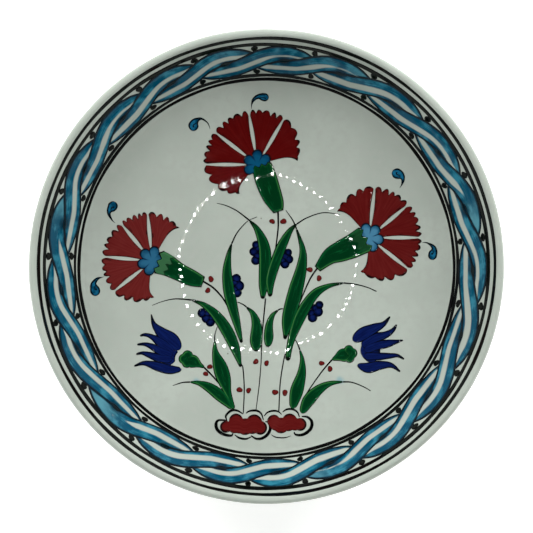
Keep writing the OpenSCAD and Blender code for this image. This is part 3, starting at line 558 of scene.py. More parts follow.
# Carnations
# Three carnations, seen from the side. Their petals are laid on in a thick red clay colour that stands in
# relief, and are parted by bare gaps. A blue heart, a green calyx and two turquoise curls go with each.
# The spray is drawn about the plate's middle and scaled so that its farthest curl keeps off the well's edge.
spray_margin, far_curl, far_curl_r = 1.3, (75, 10.6), 2.1
spray_scale = (well_edge_r - spray_margin) / (np.hypot(*far_curl) + far_curl_r)
tooth_depth, tooth_power, tooth_n, end_tooth_n, petal_gap_w = 1.7, 2.2, 5, 4.5, 1.4
disc_r, lobe_reach, lobe_r, petal_root = 4.6, 4.4, 2.3, 4.2
lobe_turns = np.array([-88, -31, 31, 88])
carnations = {
    "top": {
        "centre": (-4, 45), "length": 23.9, "axis": 122,
        "fan": (4.5, 59.7, 99.5, 143, 180, 239), "short": (0.26, 0.37),
        "thin_red": 0.0, "pale_heart": 0.0, "pale_sepals": 0.0,
        "calyx": [(-2, 44.6, 4.4), (-0.5, 39.5, 5), (1.8, 33, 4.7), (4, 28, 3.8), (5.3, 24.2, 2.3)],
        "curls": [
            ([(-24.8, 60.3, 0.08), (-25.2, 61.8, 0.2), (-26, 63.2, 0.28), (-27.4, 64.3, 0.4),
              (-28.7, 64.8, 0.55), (-30.1, 64.4, 0.95), (-31.3, 63.4, 1.7), (-31.9, 62.1, 2.25),
              (-32.1, 60.8, 2.28), (-32.3, 59.5, 2.28)],
             [(-29.9, 63.4), (-30.6, 63), (-31.3, 62.6), (-32, 62.1), (-32.2, 61.4), (-31.6, 61.2)]),
            ([(-6.6, 69, 0.08), (-6.55, 70.4, 0.22), (-6.3, 71.7, 0.45), (-5.8, 72.8, 0.72),
              (-4.7, 73.9, 0.92), (-3.4, 74.4, 1.15), (-2.1, 74.3, 1.65), (-0.9, 74.1, 1.8),
              (1, 73.9, 1.8)],
             [(-3.2, 73.5), (-2.4, 73.9), (-1.5, 73.9), (-0.6, 73.7), (-0.3, 73.3)]),
        ],
    },
    "left": {
        "centre": (-50.5, 2.4), "length": 21.8, "axis": 165,
        "fan": (50, 95, 129, 174.7, 219, 274), "short": (0.13, 0.27),
        "thin_red": 0.8, "pale_heart": 0.32, "pale_sepals": 0.8,
        "calyx": [(-47.4, 2, 5.4), (-43.5, 0.4, 4.8), (-38.5, -2.5, 4), (-33, -5.1, 3.7), (-28, -6.9, 2.5)],
        "curls": [
            ([(-66.3, 19, 0.08), (-67.3, 19.9, 0.24), (-68.2, 21.2, 0.45), (-68.8, 22.4, 0.65),
              (-69, 23.5, 0.9), (-68.6, 24.7, 1.45), (-67.8, 25.7, 2.05), (-67.3, 26.6, 2.2),
              (-66.7, 28.5, 2.2)],
             [(-68, 23.9), (-68.2, 24.9), (-67.8, 25.8), (-67.1, 26.1), (-66.9, 25.6)]),
            ([(-71.1, -4.5, 0.08), (-72.3, -4.8, 0.25), (-73.5, -5.1, 0.55), (-74.6, -5.9, 0.85),
              (-75.5, -7.2, 1.15), (-75.6, -8.5, 1.65), (-75.2, -9.8, 2.1), (-74.9, -10.8, 2.2),
              (-74.5, -12.8, 2.2)],
             [(-74.5, -7.5), (-75, -8.4), (-75.1, -9.5), (-74.7, -10.3), (-74.2, -9.8)]),
        ],
    },
    "right": {
        "centre": (45.3, 12.7), "length": 22.8, "axis": 20,
        "fan": (-105, -39, 0, 40.6, 84, 141), "short": (0.33, 0.2),
        "thin_red": 0.5, "pale_heart": 0.95, "pale_sepals": 0.15,
        "calyx": [(43.5, 12, 6), (38, 9, 5.4), (33, 6.8, 4.8), (28, 4.4, 3.7), (22.5, -1.1, 1.7)],
        "curls": [
            ([(58.4, 34.4, 0.08), (59.2, 35.7, 0.3), (59.7, 37, 0.6), (59.8, 38.2, 0.9),
              (59.4, 39.3, 1.4), (58.5, 40.1, 2), (57.3, 40.7, 2.3), (55.1, 41.6, 2.3)],
             [(58, 38.4), (58.6, 39.3), (58, 40), (57.2, 40.4), (56.9, 41), (57.5, 41.3)]),
            ([(68.3, 10.5, 0.08), (69.9, 10.5, 0.28), (71.3, 9.9, 0.5), (72.5, 9.1, 0.8), (73.3, 8, 1.15),
              (73.3, 6.8, 1.6), (72.9, 5.7, 1.95), (72.7, 4.8, 1.95), (72.4, 2.9, 1.95)],
             [(72.4, 7.7), (72.9, 7), (73, 6), (72.6, 5.4), (72.2, 5.9)]),
        ],
    },
}


def drawn(size):
    """A real size, as it is drawn before the spray is scaled to the well."""
    return size / spray_scale


def laid(part, lift=0.0, ink=0.0):
    """The same patch, laid on higher by some millimetres and with more in its ink field."""
    plan, low, values = part
    return plan, low + lift, {**values, "ink": values["ink"] + ink}


def heart_reach(flower, turn):
    """How far the heart reaches each way from its middle: to the farthest of a disc and four lobes."""
    off = turn[..., None] - np.radians(flower["axis"] + lobe_turns)
    chord = lobe_r**2 - (lobe_reach * np.sin(off)) ** 2
    far = lobe_reach * np.cos(off) + np.sqrt(np.maximum(chord, 0))
    return np.maximum(np.where((chord > 0) & (np.cos(off) > 0), far, 0).max(-1), disc_r)


def petal(flower, i):
    """Petal i of a fan, in turns round the flower's middle and lengths from it: its edge is a row of teeth,
    its sides stand off from the lines that part it, and the fan's two ends are shorter, with a free side."""
    fan, length = np.radians(flower["fan"]), flower["length"]
    short = [s if at_end else 0 for s, at_end in zip(flower["short"], (i == 0, i == len(fan) - 2))]
    teeth, phase = (end_tooth_n if sum(short) else tooth_n), (0.5 if short[0] else 0)
    w = np.linspace(0, 1, int(14 * teeth) + 1)
    odd = 2.3 * i + flower["axis"]
    beat = phase + teeth * (w + 0.11 * w * (1 - w) * np.sin(9 * w + odd))
    saw = np.abs(2 * (beat % 1) - 1) ** tooth_power
    depth = 1.1 + 0.35 * np.sin(1.9 * beat + odd)
    for shorter, from_end in zip(short, (w, 1 - w)):
        depth = depth * (np.clip(4 * from_end, 0.3, 1) if shorter else 1)
    reach = length * (1 - short[0] * (1 - w) ** 1.5 - short[1] * w**1.5) - drawn(tooth_depth) * depth * saw
    u = closer_to_ends(44)

    def side(way, free):
        r = petal_root + u * (reach[0 if way > 0 else -1] - petal_root)
        lens = 0.3 + 0.7 * np.sin(np.pi * u)
        turned = np.radians(10) * (1 - u**4) if free else np.arctan(drawn(petal_gap_w) / 2 * lens / r)
        return fan[i if way > 0 else i + 1] + way * turned

    start, end = side(1, short[0] > 0)[:, None], side(-1, short[1] > 0)[:, None]
    turn = start + w * (end - start)
    root = heart_reach(flower, turn[0]) - 0.2
    r = root + u[:, None] * (reach - root)
    plan = np.asarray(flower["centre"]) + r[..., None] * np.stack([np.cos(turn), np.sin(turn)], -1)
    steep = np.gradient(reach, w) / ((end[-1] - start[-1]) * reach)
    rim = (1 - u[:, None]) * (reach - root) / np.sqrt(1 + np.minimum(steep**2, 4))
    sides = np.minimum(w, 1 - w) * (end - start) * r
    edge = np.minimum(np.minimum(rim, sides), u[:, None] * (reach - root))
    thin = flower["thin_red"] + 0.2 * hand.random()
    return patch(plan * spray_scale, edge, along=u[:, None], across=2 * w - 1, seam=1 - saw, ink=thin)


def lobes_at(plan, circles):
    """Depth inside round lobes [x, y, radius] that melt together, and the nearest's lead over the second."""
    x, y, r = np.asarray(circles, float).T
    depth = np.sort(r - np.hypot(plan[..., 0, None] - x, plan[..., 1, None] - y), axis=-1)
    melted = 0.4 * np.log(np.exp(depth / 0.4).sum(-1))
    return np.maximum(melted, 0), depth[..., -1] - depth[..., -2]


def heart(flower):
    """Heart: a fan of rays from its middle to its lobed rim; a field tells how far a point is from a seam."""
    centre = np.asarray(flower["centre"], float)
    turns = np.radians(flower["axis"] + lobe_turns)
    lobes = centre + lobe_reach * np.stack([np.cos(turns), np.sin(turns)], -1)
    turn = np.linspace(0, 2 * np.pi, 161)
    reach = heart_reach(flower, turn)
    share = np.sin(np.pi / 2 * np.linspace(0, 1, 22))[:, None]
    plan = centre + (share * reach)[..., None] * np.stack([np.cos(turn), np.sin(turn)], -1)
    seam = lobes_at(plan, [(*lobe, lobe_r) for lobe in lobes])[1]
    return patch(plan * spray_scale, (1 - share) * reach, along=share, seam=seam, ink=flower["pale_heart"])


def calyx(flower):
    """Calyx: a tapering stroke whose blunt start runs out in three pointed sepals."""
    points = np.asarray(flower["calyx"], float)
    plan, lift, values = stroke(points, 60, 31, spray_scale, blunt=True)
    back = points[0, :2] - points[1, :2]
    back /= np.hypot(*back)
    tooth = 1 - np.abs(2 * (1.5 * (values["across"][0] + 1) % 1) - 1)
    sepal = 0.36 * points[0, 2] * tooth * (1 - values["along"]) ** 6
    run = np.hypot(*np.diff(points[:, :2], axis=0).T).sum()
    from_start = values["along"] * run + sepal[0] - sepal
    grown = plan + sepal[..., None] * back * spray_scale
    return laid((grown, lift, {**values, "seam": from_start}), ink=flower["pale_sepals"])


def curl(body, line):
    """Curl: a stroke of turquoise from its thin tip to its round head, into which a black line winds."""
    wound = stroke(np.column_stack([line, np.linspace(0.24, 0.42, len(line))]), 40, 7, spray_scale)
    return [stroke(body, 64, 15, spray_scale), laid(wound, lift=0.16, ink=1)]


def dark_edge(shade, low, high):
    """1 at a patch's edge and 0 further in, between two distances in millimetres, a little uneven."""
    return (shade.field("edge") + 0.25 * (clouds(shade, 2.0) - 0.5)).step(high, low)


def red_relief(shade):
    """Red clay colour, brushed from the root outwards, with a brown outline that is black at the tips."""
    along, across, own, tip = (shade.field(name) for name in ("along", "across", "ink", "seam"))
    brushed = streaks(shade, across * 5, along * 0.9, own * 30, 1.6, 4.0).step(0.2, 0.85)
    thick = brushed.blend(pigment(79, 5, 6), pigment(92, 13, 12))
    thin = brushed.blend(pigment(98, 27, 26), pigment(112, 42, 40))
    # The red turns to the thin red where a petal's paint is thin, and also in cloudy paler patches, which are
    # a painted highlight on the petals.
    tone = (own.step(0.2, 1.1) + 0.35 * clouds(shade, 7.0, 3.0).step(0.5, 0.85)).blend(thick, thin)
    tone = (0.6 * dark_edge(shade, 0.15, 0.6)).blend(tone, pigment(52, 7, 7))
    at_tips = (tip + 0.7 * along + 3 * (clouds(shade, 4.0) - 0.5)).step(1.3, 1.75)
    return (0.9 * dark_edge(shade, 0.55, 1.2) * at_tips).blend(tone, pigment(16, 9, 9))


def heart_blue(shade):
    """Blue lobes, paler in the middle, parted and edged by dark lines."""
    edge, pale = shade.field("edge"), shade.field("ink")
    cloud = clouds(shade, 2.5, 2.0)
    deep = pale.blend(pigment(3, 48, 78), pigment(26, 80, 112))
    light = pale.blend(pigment(10, 78, 112), pigment(72, 128, 158))
    tone = (0.35 * edge + cloud).step(0.45, 1.6).blend(deep, light)
    parted = (shade.field("seam") + 0.3 * (cloud - 0.5)).step(0.75, 0.2) * shade.field("along").step(0.2, 0.7)
    tone = (0.85 * parted).blend(tone, pigment(8, 30, 60))
    return (0.95 * dark_edge(shade, 0.42, 0.9)).blend(tone, pigment(4, 8, 16))


def leaf_green(shade):
    """Green that is darker along the middle and paler beside the edge, with a thin black outline."""
    along, across, edge = shade.field("along"), shade.field("across"), shade.field("edge")
    cloud = clouds(shade, 3.5, 3.0)
    drag = streaks(shade, across * 2.5, along * 1.6, cloud)
    tone = (edge + 1.6 * drag).step(0.9, 2.5).blend(pigment(10, 84, 41), pigment(0, 49, 22))
    tone = (drag.step(0.55, 0.8) * 0.5).blend(tone, pigment(17, 106, 54))
    pale = edge.step(0.4, 0.65) * edge.step(1.1, 0.75) * (0.7 * across + cloud).step(0.4, 0.85)
    tone = (0.4 * pale).blend(tone, pigment(76, 136, 66))
    return dark_edge(shade, 0.26, 0.52).blend(tone, pigment(4, 10, 7))


def calyx_green(shade):
    """The leaves' green, with pale sepals towards the heart and a dark zigzag at each end of them."""
    along, across, start, pale = (shade.field(name) for name in ("along", "across", "seam", "ink"))
    cloud = clouds(shade, 2.2, 2.0)
    uneven = start + 2.2 * (cloud - 0.5)
    tone = (0.65 * uneven.step(6.2, 4.6) * pale).blend(leaf_green(shade), pigment(74, 126, 86))
    inner = uneven.step(4.8, 5.3) * uneven.step(6.2, 5.6)
    zigzag = (start + 0.8 * (cloud - 0.5)).step(1.2, 0.7)
    corners = along.step(0.94, 0.97) * across.math("ABSOLUTE", across).step(0.45, 0.8)
    return (zigzag + 0.8 * inner * pale + corners).blend(tone, pigment(4, 16, 10))


def curl_blue(shade):
    """Turquoise with a black outline and its own black winding line."""
    tone = clouds(shade, 2.0, 2.0).step(0.35, 0.65).blend(pigment(2, 62, 90), pigment(26, 104, 140))
    tone = (0.97 * dark_edge(shade, 0.62, 0.95)).blend(tone, pigment(4, 10, 14))
    return shade.field("ink").step(0.4, 0.6).blend(tone, pigment(6, 12, 16))


red = glazed("red_relief", red_relief, dull=0.02)
blue_heart = glazed("heart_blue", heart_blue)
calyx_finish = glazed("calyx_green", calyx_green, glare=0.4)
curl_finish = glazed("curl_blue", curl_blue)
for where, flower in carnations.items():
    petals = [petal(flower, i) for i in range(len(flower["fan"]) - 1)]
    curls = [part for body, line in flower["curls"] for part in curl(body, line)]
    for name, slot, finish, patches, thick, edge_w in [
        ("petals", "red_relief", red, petals, 0.38, 0.7),
        ("heart", "turquoise_colour", blue_heart, [heart(flower)], 0.42, 0.5),
        ("calyx", "green_colour", calyx_finish, [calyx(flower)], 0.46, 0.6),
        ("curls", "turquoise_colour", curl_finish, curls, 0.2, 0.4),
    ]:
        film(f"painted_{where}_{name}", f"{where}_carnation_{name}", finish, patches, thick, edge_w)


# Tulips
# Two tulips lean outwards at the foot of the spray. Five cobalt petals grow out of one cup and part into
# black-edged tips; a bare scalloped strip divides the cup from a green calyx of three lobes.
tulip_strip_share = 0.6
tulips = {
    "left": {
        "petals": [
            [(-38, -36.5, 2), (-42, -32.7, 3.6), (-46.5, -29, 2.5), (-49.6, -25.3, 1.1),
             (-50.8, -21, 0.25)],
            [(-41, -38, 2), (-46, -34, 2.3), (-50.5, -30.9, 1.2), (-53.5, -30, 0.8), (-55.6, -30.5, 0.45)],
            [(-41.5, -39.5, 2), (-47, -37, 2), (-51, -34.9, 1.3), (-54, -34.1, 0.8), (-56.8, -34.3, 0.45)],
            [(-41.5, -41, 2), (-47, -40.3, 2), (-51.5, -38.8, 1.4), (-54.5, -38, 0.8),
             (-57.2, -38.5, 0.45)],
            [(-37.4, -45.3, 1), (-42.5, -45.3, 2.1), (-48, -43.8, 2.1), (-53.5, -42.4, 1.1),
             (-58, -43.6, 0.4)],
        ],
        "cup": [(-39.5, -40.5, 5.4), (-44, -38.5, 6.4), (-48, -36.5, 3)],
        "lobes": [(-34.8, -39.3, 2.4), (-36.5, -40.7, 2.3), (-35.1, -42.5, 2.2)],
        "calyx": [(-35.4, -40.9, 2.8), (-32, -42, 2.9), (-29.4, -43.4, 1.3), (-27.4, -44.5, 0.5)],
    },
    "right": {
        "petals": [
            [(38.2, -32.8, 1.8), (42.5, -29.8, 3), (47.5, -27.3, 2.3), (51.5, -25.3, 1.2),
             (54.4, -22, 0.4)],
            [(42, -35, 2), (48, -31.5, 2.2), (52.5, -30, 1.6), (55.5, -28, 1), (57.2, -25.5, 0.45)],
            [(43, -37, 2), (49, -34.8, 2.1), (53.5, -33.8, 1.8), (57, -33, 1), (60, -32.3, 0.3)],
            [(43, -39.5, 2), (49, -39.5, 1.8), (54, -39.2, 1.3), (57.5, -39.1, 0.8), (60.3, -40.6, 0.4)],
            [(40, -43.3, 1), (44.5, -44.5, 2.4), (49.5, -43.4, 2.1), (54.6, -43.3, 1.2), (58.5, -46, 0.4)],
        ],
        "cup": [(41.5, -38, 5.2), (46, -37, 6), (50, -36, 3)],
        "lobes": [(36.3, -36.8, 2.2), (37.8, -38.2, 2.3), (36.6, -40.3, 2.2)],
        "calyx": [(37, -38.5, 2.8), (33.5, -39.2, 3), (31, -40.2, 1.6), (28.8, -41.2, 0.5)],
    },
}


def clear_of(part, circles):
    """A stroke whose lines each start where they leave the last of some circles [x, y, radius]."""
    plan, lift, values = part
    x, y, r = np.asarray(circles, float).T
    gap = np.min(np.hypot(plan[..., 0, None] - x, plan[..., 1, None] - y) - r, axis=-1)
    last = np.where(gap < 0, np.arange(len(plan))[:, None], -1).max(0) + 1
    at = last + closer_to_ends(48)[:, None] * (len(plan) - 1 - last)
    low = np.minimum(at.astype(int), len(plan) - 2)

    def reread(grid):
        a, b = np.take_along_axis(grid, low, 0), np.take_along_axis(grid, low + 1, 0)
        return a + (at - low) * (b - a)

    moved = np.stack([reread(plan[..., k]) for k in range(2)], -1)
    fields = {field: reread(grid) for field, grid in values.items()}
    distance = (at - last) / len(plan) * np.hypot(*(plan[-1, 0] - plan[0, 0]))
    fields["edge"] = np.minimum(fields["edge"], distance)
    return moved, lift, fields


def lean_of(first, last):
    """Direction from one lobe to another."""
    x, y = np.subtract(last, first)[:2]
    return np.arctan2(y, x)


def lobed(circles, axis, rows=60, columns=15):
    """Lobed patch: across an axis, from the lowest to the highest reach of round lobes [x, y, radius]."""
    x, y, r = np.asarray(circles, float).T * spray_scale
    ahead = np.array([np.cos(axis), np.sin(axis)])
    p, q = x * ahead[0] + y * ahead[1], y * ahead[0] - x * ahead[1]
    u, v = closer_to_ends(rows)[:, None], closer_to_ends(columns)
    s = (p - r).min() + u * ((p + r).max() - (p - r).min())
    chord = np.sqrt(np.maximum(r**2 - (s - p) ** 2, 0))
    met = np.abs(s - p) <= r + 1e-9
    high = np.where(met, q + chord, -np.inf).max(1)[:, None]
    low = np.where(met, q - chord, np.inf).min(1)[:, None]
    t = low + v * (high - low)
    plan = np.stack([s * ahead[0] - t * ahead[1], s * ahead[1] + t * ahead[0]], -1)
    depth, seam = lobes_at(plan, np.column_stack([x, y, r]))
    edge = np.minimum(depth, np.minimum(v, 1 - v) * (high - low))
    return patch(plan, edge, along=u, across=2 * v - 1, seam=seam)


def cobalt_wash(shade):
    """Deep cobalt with darker streaks from the cup into the tips, outlined in black."""
    along, across = shade.field("along"), shade.field("across")
    cloud = clouds(shade, 4.0, 3.0)
    drag = streaks(shade, across * 3, along * 1.5, cloud, 1.8)
    tone = drag.step(0.25, 0.75).blend(pigment(6, 16, 60), pigment(13, 30, 88))
    tone = (along + 0.4 * (cloud - 0.5)).step(0.72, 1.0).blend(tone, pigment(5, 9, 26))
    return (0.97 * dark_edge(shade, 0.35, 0.8)).blend(tone, pigment(3, 5, 12))


cobalt = glazed("cobalt_wash", cobalt_wash)
green = glazed("tulip_green", leaf_green, glare=0.4)
for where, flower in tulips.items():
    lobes = flower["lobes"]
    strip = np.asarray(lobes) * (1, 1, 1 + tulip_strip_share) * spray_scale
    petals = [clear_of(stroke(flower["cup"], 240, 21, spray_scale), strip)]
    for k, points in enumerate(flower["petals"]):
        petals.append(laid(clear_of(stroke(points, 240, 13, spray_scale), strip), lift=0.06 + 0.015 * k))
    node = f"{where}_tulip"
    film(f"painted_{node}", f"{node}_petals", cobalt, petals, thick=0.16, edge_w=0.45)
    cup = [stroke(flower["calyx"], 40, 13, spray_scale), lobed(lobes, lean_of(lobes[2], lobes[0]), 48)]
    film(f"painted_{node}_calyx", f"{node}_calyx", green, cup, thick=0.28, edge_w=0.5)


# Berries
# Bunches of cobalt berries look out from behind the leaves. They are dabbed on with a round brush: three
# dabs make the outer edge and the others lie between it and the leaf.
berries = [
    [(-4.6, 9.6, 1.9), (-5.7, 6.6, 2), (-4.8, 2.7, 2.1), (-3.6, 8, 1.8), (-4, 4.7, 1.9)],
    [(9.6, 6.2, 1.8), (10, 3.2, 2), (8.2, 1.1, 2.1), (8.3, 4.6, 1.9), (7.2, 2.6, 1.8)],
    [(-13.4, -5.4, 2.2), (-12.2, -8.6, 2.4), (-13.1, -11.6, 2.2), (-14, -7.2, 1.9), (-13.8, -10.2, 1.9)],
    [(-28.4, -20.6, 2.2), (-26.6, -22.9, 2.2), (-24.9, -24.6, 2.1), (-26.4, -20.9, 1.9),
     (-24.6, -22.8, 1.8)],
    [(23.4, -17, 1.9), (22.8, -20, 2.3), (20.4, -22.6, 2.2), (21.4, -18.4, 1.8), (19.9, -20.8, 1.9)],
]


def berry_blue(shade):
    """Near-black cobalt whose lobes are a little bluer in the middle."""
    cloud = clouds(shade, 1.6, 2.0)
    tone = (shade.field("edge") + 1.4 * cloud).step(1.3, 2.7).blend(pigment(2, 7, 34), pigment(13, 28, 82))
    tone = (0.9 * (shade.field("seam") + 0.6 * cloud).step(1.05, 0.5)).blend(tone, pigment(2, 4, 18))
    return (0.9 * dark_edge(shade, 0.3, 0.7)).blend(tone, pigment(2, 4, 14))


berry_finish = glazed("berry_blue", berry_blue)
bunches = [lobed(bunch, lean_of(bunch[0], bunch[2])) for bunch in berries]
film("painted_berries", "berries", berry_finish, bunches, thick=0.15, edge_w=0.4)


# Leaves
# Long leaves in pairs, each one stroke of a full brush in copper green. A stroke swells, runs out in a
# point and gets a thin black outline; the second leaf of a pair is laid over the first.
leaf_swell = 1.1
leaf_pairs = {
    "centre_leaves": [
        [(-1.7, -14.4, 0.8), (-1.3, -8, 2), (-0.6, 3, 2.6), (-1.4, 10, 2.3), (-4.2, 16.5, 1.3),
         (-7.6, 20.5, 0.4)],
        [(1.6, -13.4, 0.8), (1.7, -6, 2), (4.4, 3, 2.2), (7.2, 10, 2), (10.4, 15.8, 1.2),
         (13.3, 18.8, 0.4)],
    ],
    "left_leaves": [
        [(-11, -33.8, 0.6), (-13.2, -25, 1.6), (-16.2, -13, 2.4), (-17.5, -3, 2), (-16.8, 5, 1.1),
         (-15.5, 10, 0.4)],
        [(-11.4, -44.4, 0.5), (-13.6, -37, 1.9), (-17.2, -29, 2.5), (-22, -22, 2.1), (-27.5, -17.2, 1.2),
         (-33, -14.8, 0.4)],
    ],
    "right_leaves": [
        [(8.1, -32.2, 0.6), (9.7, -23, 2.7), (12.8, -11, 3), (15.6, 0, 2.2), (16, 7.5, 1.3),
         (13.4, 16.5, 0.4)],
        [(9.3, -41.6, 1), (10.8, -33, 1.5), (15, -22, 2.4), (20.8, -12.8, 2), (27, -8.8, 1.1),
         (34, -7.3, 0.4)],
    ],
    "small_leaves": [
        [(-4.6, -37.6, 1.2), (-4.6, -33, 2.6), (-4.4, -26, 2.1), (-6, -21, 1.2), (-8.8, -18, 0.4)],
        [(0.6, -35.6, 1.1), (0.9, -31.5, 2), (1.2, -26, 1.6), (2.6, -21.8, 1), (5, -19.4, 0.4)],
    ],
    "left_tulip_leaves": [
        [(-14.4, -62.6, 0.8), (-16.9, -56, 1.5), (-18.8, -49.5, 2.9), (-20.6, -44, 2.9),
         (-22.6, -38, 1.4), (-22.9, -33, 0.4)],
        [(-15.2, -62.4, 0.9), (-20, -57.2, 2.3), (-25, -53.4, 2), (-29.5, -51.4, 1.1), (-33.5, -50.8, 0.4)],
    ],
    "right_tulip_leaves": [
        [(11.4, -62.4, 1.4), (13.2, -55, 2.7), (15.4, -47.5, 1.9), (15.8, -41.5, 1), (14.8, -37, 0.4)],
        [(15.4, -64.4, 1.3), (18.5, -58.8, 2.5), (23, -54.2, 2), (28, -51.5, 1.1), (33.5, -50.7, 0.4)],
    ],
}


def leaf_with_foot(shade):
    """A leaf's green, black at its foot, where the brush set off, and at its tip, where the whip goes on."""
    along = shade.field("along")
    ends = along.step(0.05, 0.025) + 0.9 * along.step(0.84, 0.97)
    return ends.blend(leaf_green(shade), pigment(4, 10, 7))


leaf = glazed("leaf_with_foot", leaf_with_foot, glare=0.4)
for node, pair in leaf_pairs.items():
    swollen = [stroke(np.multiply(points, (1, 1, leaf_swell)), 72, 15, spray_scale) for points in pair]
    leaves = [laid(part, lift=0.03 * k) for k, part in enumerate(swollen)]
    finish = green if "tulip" in node else leaf
    film(f"painted_{node}", node, finish, leaves, thick=0.26, edge_w=0.5)


# Stems and whips
# The stems, and the whips, which are fine lines that run on from the tip of each leaf, are drawn after the
# green. They are the same black as the border's lines, put on with the point of the brush.
whip_ends = [
    [(-13, 24.6, 0.3), (-18, 27, 0.25), (-22, 28, 0.15)],
    [(18, 21.6, 0.3), (25, 23.8, 0.25), (32.4, 23, 0.15)],
    [(-13, 15, 0.3), (-8.6, 19.9, 0.2), (-4.2, 22, 0.15)],
    [(-40, -14.3, 0.3), (-45.5, -15.3, 0.2), (-50.5, -17.2, 0.15)],
    [(11.6, 20.6, 0.3), (8.5, 25, 0.15)],
    [(39.5, -7.9, 0.3), (44.5, -9.2, 0.25), (48.6, -11, 0.25)],
    [(-10.6, -16.7, 0.3), (-13, -15.7, 0.25)],
    [(6, -18.9, 0.35), (7.4, -18.7, 0.3)],
    [(-22.8, -30, 0.25), (-21.8, -26.6, 0.15)],
    [(-37, -51, 0.3), (-41.2, -52.3, 0.15)],
    [(13.9, -34.6, 0.3), (12.8, -32.4, 0.25)],
    [(37.5, -50.9, 0.3), (42, -52.5, 0.25), (45.7, -54.5, 0.2)],
]
carnation_stems = [
    [(-4.6, -63, 0.2), (-3.2, -52, 0.25), (-2.4, -42, 0.25), (-1.9, -30, 0.3), (-0.4, -14, 0.35)],
    [(3.6, 5, 0.3), (4.6, 12, 0.35), (5.2, 18, 0.4), (5.1, 25, 0.45)],
    [(-10.2, -64.6, 0.25), (-9.8, -54, 0.3), (-10.4, -45, 0.3), (-11.3, -43, 0.3)],
    [(-14.2, -24, 0.35), (-16.7, -18.8, 0.35), (-19.4, -14, 0.4), (-23.4, -9.6, 0.45), (-28.4, -6.3, 0.45)],
    [(5.4, -63.9, 0.3), (6, -52, 0.3), (7.3, -43, 0.3), (8.3, -38.6, 0.3)],
    [(14.2, -17.4, 0.3), (16.4, -12, 0.35), (19.4, -5.4, 0.4), (22.6, -0.6, 0.45)],
]
tulip_stems = [
    [(-18.8, -55, 0.25), (-21, -51.5, 0.35), (-24, -48, 0.4), (-27.6, -44.4, 0.45)],
    [(15.6, -59, 0.25), (20, -52.4, 0.3), (25, -45.6, 0.35), (29, -41, 0.45)],
]
leaf_tips = [points[-1] for pair in leaf_pairs.values() for points in pair]
whips = [[tip, *points] for tip, points in zip(leaf_tips, whip_ends)]
for node, lines in [
    ("leaf_whips", whips),
    ("carnation_stems", carnation_stems),
    ("tulip_stems", tulip_stems),
]:
    strokes = [stroke(points, scale=spray_scale) for points in lines]
    film(f"painted_{node}", node, ink, strokes, thick=0.2, edge_w=0.3)


# Red dots
# Small drops of the red relief colour, set down in pairs beside the stems with the tip of the brush. There
# is less colour in them than in the petals, so they look paler.
red_dot_d, dot_thin = 2.5, 0.7
dot_places = [
    (2.5, 20), (7.5, 20), (-24.6, -5.6), (-26, -10.6), (19.2, -1.4), (23.3, -5.2), (-25, -44.2),
    (-26.8, -47.3), (24.3, -42.7), (28, -45.1), (-4.7, -42), (0, -42.7), (-11.9, -54.3), (-7.9, -54.6),
    (3.8, -55.4), (8.1, -55.6),
]
dots = []
for x, y in dot_places:
    radius = red_dot_d / 2 * hand.uniform(0.88, 1.08)
    dots.append(laid(blot(x * spray_scale, y * spray_scale, radius, 0.12), ink=dot_thin))
film("painted_red_dots", "red_dots", red, dots, thick=0.36, edge_w=0.6)


# Clumps at the foot
# The spray grows out of two red clumps of round lobes, in the same relief colour as the petals. A bare
# strip and a scalloped black line, drawn in single arcs that swell in the middle, go round them.
clump_more, clump_thin = 0.2, 0.55
left_clump = [
    (-13.4, -67.6, 2.9), (-17.8, -70.2, 2.4), (-14, -70.3, 2.6), (-12, -70.4, 2.6), (-9.4, -70.2, 3.4),
    (-6.2, -70.4, 2.8), (-5.4, -68.4, 3.3), (-2.7, -70.7, 2.8),
]
right_clump = [
    (3.2, -67.9, 2.7), (3.9, -69.2, 2.5), (6.4, -69.7, 3.2), (9.6, -69.2, 2.8), (10.2, -67.8, 3.1),
    (12.4, -69.1, 2.6), (14.8, -69.2, 2.6),
]
scallops = [
    (0.45, [(-17.4, -67.4), (-17.8, -65.5), (-15.6, -63.3), (-12.8, -63.3), (-10.3, -64.8)]),
    (0.4, [(-9.1, -64.5), (-7.4, -63.5), (-4.6, -63.3), (-2.4, -64.5), (-1.3, -67.4)]),
    (0.6, [(-17.1, -67.5), (-20.9, -67.4), (-22.1, -68.9), (-21.5, -71.4), (-19, -73.3), (-15.6, -74),
           (-14.6, -73)]),
    (0.4, [(-14, -73.6), (-11.8, -75), (-9, -75.4), (-6.6, -74.5)]),
    (0.55, [(-6.8, -74), (-4.6, -75.3), (-2.1, -75.2), (0.4, -73.6), (1.6, -71.1), (1, -68.6), (-0.6, -68)]),
    (0.35, [(-1.1, -65.7), (0.4, -64.1), (2.9, -63.4), (5.1, -63.7), (6.7, -65)]),
    (0.4, [(7, -64), (8.8, -62.8), (11.3, -62.7), (13.5, -63.9), (14.5, -66.1)]),
    (0.6, [(15.4, -65.8), (17.9, -66), (19.7, -67.7), (19.8, -69.9), (18.5, -72), (15.7, -73.6),
           (12.9, -73.6), (12, -72.5)]),
    (0.25, [(2, -73.6), (4.2, -74.7), (7.9, -74.9), (10.7, -74.1)]),
]
for node, lobes, rows in [("left_clump", left_clump, 120), ("right_clump", right_clump, 100)]:
    clump = laid(lobed(np.add(lobes, (0, 0, clump_more)), 0.0, rows, 21), ink=clump_thin)
    film(f"painted_{node}", node, red, [clump], thick=0.36, edge_w=0.7)
arcs = []
for half_w, points in scallops:
    swell = half_w * (0.5 + 0.8 * np.sin(np.pi * np.linspace(0, 1, len(points))))
    arcs.append(stroke(np.column_stack([points, swell]), scale=spray_scale))
film("painted_clump_outlines", "clump_outlines", ink, arcs, thick=0.24, edge_w=0.3)


